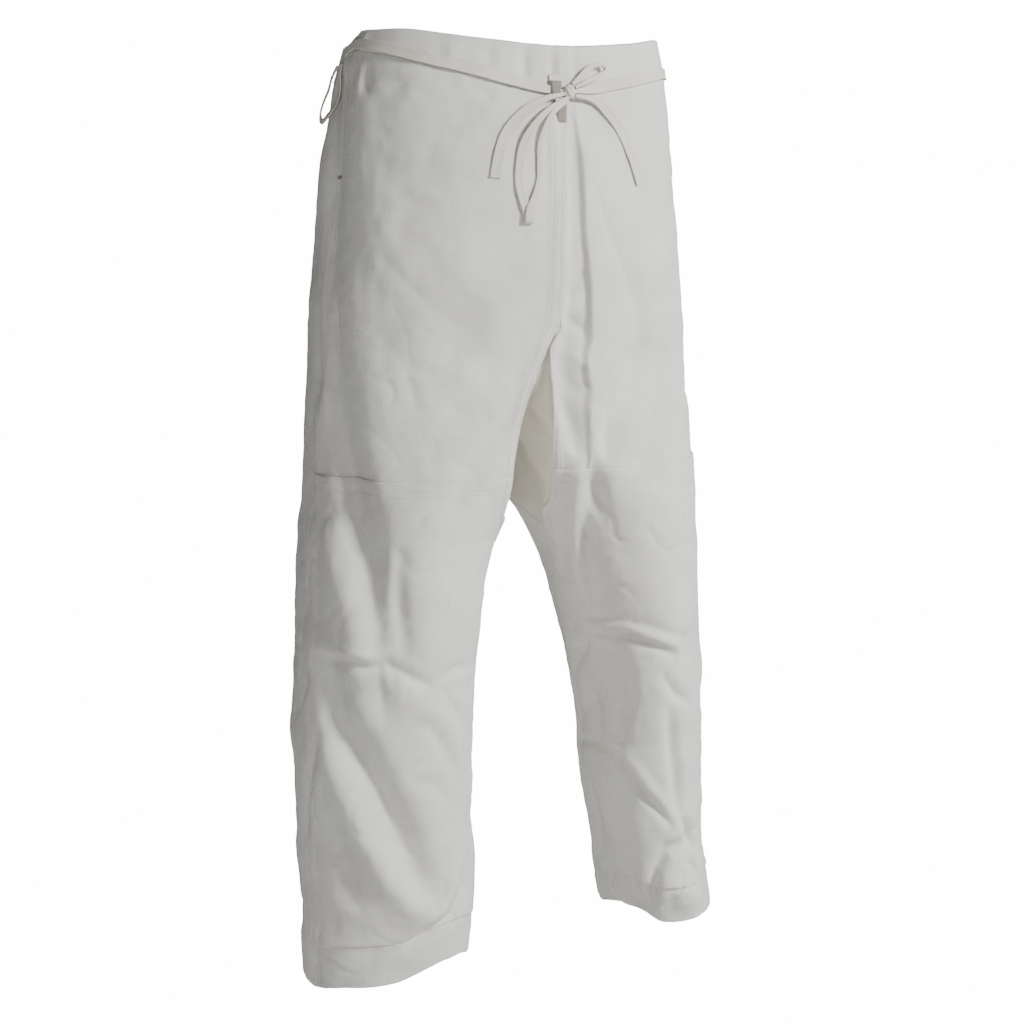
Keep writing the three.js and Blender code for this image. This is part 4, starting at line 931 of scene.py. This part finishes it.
def bandPiece(name, halves, node):
    columns = []
    for side, angles in halves:
        edge = curveThrough(bandEdge[side], angles) + cut["seamGap"] / 2
        rises = np.linspace(0, 1, int(45 / band["rise"]))
        z = edge[None] + (cut["rim"] - edge)[None] * rises[:, None]
        angle = np.broadcast_to(angles[None], z.shape)
        out = outward(side, angle, z)
        tuck = 0.5 * smooth((3.5 - (z - edge[None])) / 3.5)
        face = basePoint(side, angle, z) + out * (cut["bandOut"] + bandHeight(side, angle, z) - tuck)[..., None]
        back = basePoint(side, angle, z) - out * (cut["bandIn"] - 0.8 * bandHeight(side, angle, z))[..., None]
        turn = np.linspace(0, np.pi, band["turn"] + 2)[1:-1]
        middle, radius = (face[-1] + back[-1]) / 2, (face[-1] - back[-1]) / 2
        tall = np.linalg.norm(radius, axis=-1, keepdims=True)
        over = (middle[None] + radius[None] * np.cos(turn)[:, None, None]
                + np.array([0, 0, 1.0]) * tall[None] * np.sin(turn)[:, None, None] * 0.9)
        profile = np.concatenate([face, over - [0, 0, 1.2], back[::-1]])
        overRim = np.repeat(np.linspace(0.5, 5, band["turn"])[:, None], z.shape[1], 1)
        around = np.concatenate([z - cut["rim"], overRim, 5 + cut["rim"] - z[::-1]])
        run = (angles - 90) * perDegree(side, 0 * angles)
        uv = np.stack([np.broadcast_to(run, around.shape) * side, around], -1)
        columns.append((profile, uv))
    profile = np.concatenate([columns[0][0], columns[1][0][:, 1:]], 1)
    uv = np.concatenate([columns[0][1], columns[1][1][:, 1:]], 1)
    rows, count = profile.shape[:2]
    faces = gridQuads(rows, count, 0, True).tolist()
    faces += [[j, j + 1, (rows - 1) * count + j + 1, (rows - 1) * count + j] for j in range(count - 1)]
    faces += [[i * count for i in range(rows)], [i * count + count - 1 for i in range(rows)][::-1]]
    obj = addPiece(name, profile, faces, uv, bleachedDrill, [node])
    print(name, len(faces))
    return obj


def bandAngles(start, end):
    return start + np.linspace(0, 1, int(290 / band["step"])) * (end - start)


bandFront = bandPiece("waistbandFront", [(right, bandAngles(180, 90)), (left, bandAngles(90, 180))],
                      "waistband_front")
bandBack = bandPiece("waistbandBack", [(left, bandAngles(180, 270)), (right, bandAngles(270, 180))],
                     "waistband_back")

# ---- Gusset: a diamond between the panels' edges, whose inside settles to the mean of its neighbours
# Its creases are height, width and both ends, in shares of its front and back edges.
gussetSize = dict(steps=64, rounds=900, flat=(0.17, 0.585), area=0.0489, width=230.0, creases=[
    (5, 4.5, (0.5, 0.0), (0.0, 0.44)), (-6, 5, (0.56, 0.0), (0.03, 0.52)), (-8, 6, (0.02, 0.04), (0.44, 0.04)),
    (6, 8, (0.6, 0.02), (0.02, 0.74)), (-7, 9, (0.7, 0.04), (0.06, 0.84)), (3, 5, (0.1, 0.1), (0.3, 0.28))])


def gussetEdge(side, front, s):
    z = cut["gussetTop"] + (cut["gussetSide"] - cut["gussetTop"]) * s
    return basePoint(side, (frontEdge if front else backEdge)(side, z), z)


def gussetPiece(g):
    n = g["steps"]
    s = np.linspace(0, 1, n + 1)
    rf, lf = gussetEdge(right, True, s), gussetEdge(left, True, s)
    rb, lb = gussetEdge(right, False, s), gussetEdge(left, False, s)
    u, v = s[:, None, None], s[None, :, None]
    grid = ((1 - v) * rf[:, None] + v * lb[::-1][:, None] + (1 - u) * lf[None] + u * rb[::-1][None]
            - ((1 - u) * (1 - v) * rf[0] + u * (1 - v) * rf[-1] + (1 - u) * v * lf[-1] + u * v * lb[0]))
    for _ in range(g["rounds"]):
        grid[1:-1, 1:-1] = (grid[:-2, 1:-1] + grid[2:, 1:-1] + grid[1:-1, :-2] + grid[1:-1, 2:]) / 4
    out = unit(np.cross(np.gradient(grid, axis=0), np.gradient(grid, axis=1)))
    inside = smooth(np.minimum(np.minimum(s, 1 - s)[:, None], np.minimum(s, 1 - s)[None]) / 0.035)
    rough = 1.1 * softNoise(grid, 26, 31) + 0.5 * softNoise(grid, 11, 33)
    flat = np.stack(np.meshgrid(s, s, indexing="ij"), -1) * g["width"]
    for tall, wide, start, end in g["creases"]:
        a, b = np.array(start) * g["width"], np.array(end) * g["width"]
        t = np.clip(((flat - a) @ (b - a)) / ((b - a) @ (b - a)), 0, 1)
        d = np.linalg.norm(flat - a - t[..., None] * (b - a), axis=-1)
        rough = rough + tall * np.exp(-(d / wide) ** 2 / 2) * np.sin(np.pi * (0.12 + 0.76 * t))
    face = grid + out * (rough * inside)[..., None]
    uvs = np.stack([s[:, None] * 240 - s[None] * 240, -(s[:, None] + s[None]) * 170], -1)
    return shellPiece("crotchGusset", face, face - out * cut["cloth"], uvs, creamDrillPaintedFill, nodes=["gusset"])


crotchGusset = gussetPiece(gussetSize)

# ---- Upright loop that the drawstring passes under: each row is angle, height, lift and width
loopPlaces = [(92.8, -8, 1.4, 8.5), (92.6, -13, 1.6, 9), (92.4, -17, 2.6, 9), (92.2, -21, 3.8, 9),
              (91.9, -26, 4.4, 9), (91.4, -33, 4.3, 9), (91.0, -38, 2.6, 9), (90.7, -43, 1.4, 9),
              (90.6, -53, 1.2, 9)]
loopRows = []
for angle, z, lift, width in loopPlaces:
    out = outwardAt(right, angle, z)
    loopRows.append((clothCore(right, angle, z) + out * lift, out, width))
points, faces, uvs, path, length = tapeSurface(loopRows, 1.4, 9)
frontLoop = addPiece("frontLoop", points, faces, uvs, bleachedDrill, ["front_loop"])

# ---- Stitching
# Stitches along a path: spindles of four sides, lying on the cloth.
stitch = dict(length=2.5, spacing=3.3, thick=0.42)


def alongPath(path, spacing):
    side, (angles, zs) = path["side"], np.array(path["at"], float).T
    t = np.linspace(0, len(zs) - 1, 400)
    angle, z = np.interp(t, np.arange(len(zs)), angles), np.interp(t, np.arange(len(zs)), zs)
    base = basePoint(side, angle, z)
    run = np.concatenate([[0], np.cumsum(np.linalg.norm(np.diff(base, axis=0), axis=1))])
    at = np.arange(spacing / 2, run[-1], spacing)
    return np.interp(at, run, angle), np.interp(at, run, z)


def stitchRows(name, rows, material):
    points, outs, tangents = [], [], []
    for row in rows:
        angle, z = alongPath(row, stitch["spacing"])
        if len(angle) < 3:
            continue
        p = row["surface"](row["side"], angle, z)
        points.append(p)
        outs.append(outward(row["side"], angle, z))
        tangents.append(unit(np.gradient(p, axis=0)))
    p, out, along = np.concatenate(points), np.concatenate(outs), np.concatenate(tangents)
    across = unit(np.cross(along, out))
    out = unit(np.cross(across, along))
    half, r = stitch["length"] / 2, stitch["thick"] / 2
    corners = [p - along * half - out * r * 0.6]
    for place in (-0.55, 0.55):
        middle = p + along * half * place
        corners += [middle + across * r, middle + out * r, middle - across * r, middle - out * r]
    corners.append(p + along * half - out * r * 0.6)
    grid = np.stack(corners, 1)
    one = np.array([[0, 2, 1], [0, 3, 2], [0, 4, 3], [0, 1, 4], [9, 5, 6], [9, 6, 7], [9, 7, 8], [9, 8, 5],
                    [1, 2, 6], [1, 6, 5], [2, 3, 7], [2, 7, 6], [3, 4, 8], [3, 8, 7], [4, 1, 5], [4, 5, 8]])
    faces = (one[None] + np.arange(len(p))[:, None, None] * 10).reshape(-1, 3)
    uvs = np.zeros((len(p), 10, 2))
    uvs[..., 1] = np.linspace(0, 2.4, 10)
    addPiece(name, grid, faces, uvs, material)
    print(name, len(p), "stitches")


onCloth = lambda side, a, z: clothPoint(side, a, z, 0.12)
onPatch = lambda side, a, z: clothPoint(side, a, z, cut["patchGap"] + cut["patchCloth"] + 0.5)
onBand = lambda side, a, z: (basePoint(side, a, z) + outward(side, a, z)
                             * (cut["bandOut"] + 0.1 + bandHeight(side, a, z))[..., None])


def offset(side, edge, rows, distance):
    return [(float(edge(z)) + distance / float(perDegree(side, z)), float(z)) for z in rows]


stitched = []
for s in (right, left):
    front, seam, back = edgeLines(s)
    hipRows, legRows = np.linspace(-30, -405, 16), np.linspace(-24, -895, 30)
    patchRows = np.linspace(-412, -892, 20)
    inRows, tipRows = np.linspace(-490, -893, 18), np.linspace(-264, -482, 14)
    add = lambda at, surface=onCloth, s=s: stitched.append(dict(side=s, at=at, surface=surface))
    add(offset(s, seam, hipRows, -2.5))                       # side seam, front side
    add(offset(s, seam, hipRows, -9))
    add(offset(s, seam, legRows, 3))
    for d in (3.0, 9.0):                                      # patch borders
        add(offset(s, front, patchRows, d), onPatch)
        add(offset(s, seam, patchRows, -d), onPatch)
    for z0, z1 in ((-411.5, -411.5), (-423.5, -423.5), (-891.5, -891.5)):
        z = np.linspace(z0, z1, 12)
        f, e = frontEdge(s, z) + 2 / perDegree(s, z), seam(z) - 2 / perDegree(s, z)
        add([(float(f[i] + (e[i] - f[i]) * i / 11), float(z[i])) for i in range(12)], onPatch)
    for d in (2.5, 9.0):                                      # inseam and the gusset's edges
        add(offset(s, back, inRows, -d))
        add(offset(s, front, tipRows, d))
        add(offset(s, back, tipRows, -d))
    for z in (-897.5, -900.5):                                # hem
        add([(a, z) for a in np.linspace(0, 360, 40)])
    add([(a, -262.0) for a in np.linspace(91.5, 178.5, 24)])  # seat lining's stitch line
    add([(a, -262.0) for a in np.linspace(181.5, 268.5, 24)])
    edge = lambda a, s=s: float(curveThrough(bandEdge[s], a))
    add([(a, edge(a) + 2.4) for a in np.linspace(91, 179, 30)], onBand)
    add([(a, edge(a) + 2.4) for a in np.linspace(181, 269, 30)], onBand)
    for d in (-2.5, -9) if s == left else ():
        add([(270 + d / float(perDegree(s, z)), z) for z in np.linspace(-28, -252, 12)])
for d in (2.5, 9.0):                                          # felled seam down the middle of the front
    stitched.append(dict(side=right, surface=onCloth,
                         at=[(90 + d / float(perDegree(right, z)), z) for z in np.linspace(-60, -250, 12)]))
slitRows = [[(a, z) for a in np.linspace(164, 179, 6)] for z in (-113.0, -118.0)]
slitRows += [[(a, z) for z in np.linspace(-6, -116, 10)] for a in (165.5, 169.5)]
stitched += [dict(side=right, at=at, surface=onCloth) for at in slitRows]
stitchRows("seamStitches", stitched, whiteThread)

# Bartacks at the ends of the front loop and of the side slit: blocks of close zigzag. The block follows its
# carrier's lift in its middle and falls to the cloth at its sides; rows of thread are ridges across it.
bartacks = dict(  # side, angle, height, lifts of the middle and of the cloth (top, foot), width, height
    loopTop=(right, 92.1, -21.5, (4.0, 6.1), (1.6, 3.4), 14.5, 14),
    loopFoot=(right, 90.6, -46.5, (5.0, 2.8), (3.0, 1.7), 12, 16),
    slit=(right, 177.2, -115, (1.0, 1.0), (0.6, 0.6), 12, 3))


def bartackPiece(name, side, angle, z, lifts, clothLift, wide, tall):
    u, v = np.meshgrid(np.linspace(-1, 1, 45), np.linspace(-1, 1, 49))
    out = outwardAt(side, angle, z)
    across = unit(basePoint(side, angle + 0.5, z) - basePoint(side, angle - 0.5, z))
    across = unit(across - out * (across @ out))
    middle = lifts[1] + (lifts[0] - lifts[1]) * (v + 1) / 2
    clothLift = clothLift[1] + (clothLift[0] - clothLift[1]) * (v + 1) / 2
    shoulder = smooth((1 - np.abs(u)) / 0.5)
    ends = smooth((1 - np.abs(v)) / 0.12)
    rows = 0.28 * np.abs(np.sin(v * tall / 2 * np.pi / 1.9 + 0.5 * np.sin(u * 5))) * shoulder
    high = clothLift + (middle - clothLift) * shoulder * (0.75 + 0.25 * ends) + rows * ends
    centre = clothCore(side, angle, z)
    face = (centre + across * (u * wide / 2)[..., None] + np.array([0, 0, 1.0]) * (v * tall / 2)[..., None]
            + out * high[..., None])
    uvs = np.stack([u * wide / 2, v * tall / 2], -1)
    return shellPiece(name, face, face - out * 0.5, uvs, greyThread, side == right)


tacks = [bartackPiece(name + "Bartack", *values) for name, values in bartacks.items()]

for (part, side), obj in sheets.items():
    wide, long, area = flatSizes[(part, side)]

# ---- Stage: a plain pale floor and sky, and soft lamps. The floor and the sky look paler than the light they
# give back, as a studio's overexposed white does.
stage = dict(floor=-1.02, size=60.0, colour="#FAFAFA", floorBack="#B9B9B8", pale=16.0, ambient=0.15,
             floorShare=1.0)


def paleStage(s):
    floorPaint = bpy.data.materials.new("pale floor paint")
    world = bpy.data.worlds.new("pale sky")
    bpy.context.scene.world = world
    for holder in (floorPaint, world):
        holder.use_nodes = True
        tree = holder.node_tree
        tree.nodes.clear()
        seen = addNode(tree, "ShaderNodeLightPath").outputs["Is Camera Ray"]
        if holder is world:
            lit = addNode(tree, "ShaderNodeBackground", {"Color": linear(s["colour"]), "Strength": s["ambient"]})
            pale = addNode(tree, "ShaderNodeBackground", {"Color": linear(s["colour"]), "Strength": s["pale"]})
            share = seen
        else:
            lit = addNode(tree, "ShaderNodeBsdfDiffuse", {"Color": linear(s["floorBack"])})
            pale = addNode(tree, "ShaderNodeEmission", {"Color": linear(s["colour"]), "Strength": s["pale"]})
            share = addNode(tree, "ShaderNodeMath", {"operation": "MULTIPLY", 1: s["floorShare"]},
                            {0: seen}).outputs["Value"]
        mix = addNode(tree, "ShaderNodeMixShader", None, {0: share, 1: lit.outputs[0], 2: pale.outputs[0]})
        end = addNode(tree, "ShaderNodeOutputWorld" if holder is world else "ShaderNodeOutputMaterial")
        tree.links.new(mix.outputs[0], end.inputs["Surface"])
    mesh = bpy.data.meshes.new("floor")
    h = s["size"] / 2
    corners = [(-h, -h), (h, -h), (h, h), (-h, h)]
    mesh.from_pydata([(x, y, s["floor"]) for x, y in corners], [], [(0, 1, 2, 3)])
    mesh.materials.append(floorPaint)
    obj = bpy.data.objects.new("floor", mesh)
    bpy.context.collection.objects.link(obj)


paleStage(stage)

# Lamps, with left and right as the camera sees them: in front and on the right, two low ones on the left and one
# behind on the right. Place in metres, the point it faces, width and height, watts.
lampColour = "#FFFFFF"
lamps = {
    "frontLamp": ((1.6, -2.7, 1.35), (0, 0, -0.45), (0.7, 0.7), 180),
    "rightLamp": ((3.0, -0.9, 0.4), (0, 0, -0.45), (1.0, 1.4), 25),
    "lowLamp": ((-1.1, -2.6, -0.75), (0.05, 0, -0.72), (0.5, 0.4), 13),
    "leftLamp": ((-1.6, -0.9, -0.9), (-0.2, 0, -0.78), (0.3, 0.3), 3.2),
    "backLamp": ((1.9, 3.1, 1.3), (0, 0, -0.45), (1.4, 1.4), 130),
}
# narrow lamp that reaches up under the crotch: place, the point it faces, cone in degrees, watts
spot = dict(place=(-0.75, -2.3, -1.0), aim=(0.03, -0.07, -0.42), cone=10, watts=15)


def lampAt(name, data, place, aim, watts):
    data.energy, data.color = watts, linear(lampColour)[:3]
    obj = bpy.data.objects.new(name, data)
    obj.location = place
    towards = np.array(aim, float) - np.array(place, float)
    obj.rotation_euler = (math.atan2(math.hypot(towards[0], towards[1]), -towards[2]), 0,
                          math.atan2(towards[1], towards[0]) - math.pi / 2)
    bpy.context.collection.objects.link(obj)


for name, (place, aim, size, watts) in lamps.items():
    data = bpy.data.lights.new(name, "AREA")
    data.shape, data.size, data.size_y = "RECTANGLE", size[0], size[1]
    lampAt(name, data, place, aim, watts)
data = bpy.data.lights.new("crotchLamp", "SPOT")
data.spot_size, data.spot_blend, data.shadow_soft_size = math.radians(spot["cone"]), 1.0, 0.25
lampAt("crotchLamp", data, spot["place"], spot["aim"], spot["watts"])
print("stage ready")

total = sum(len(p.vertices) - 2 for o in bpy.data.objects if o.type == "MESH" for p in o.data.polygons)
print("triangles", total)
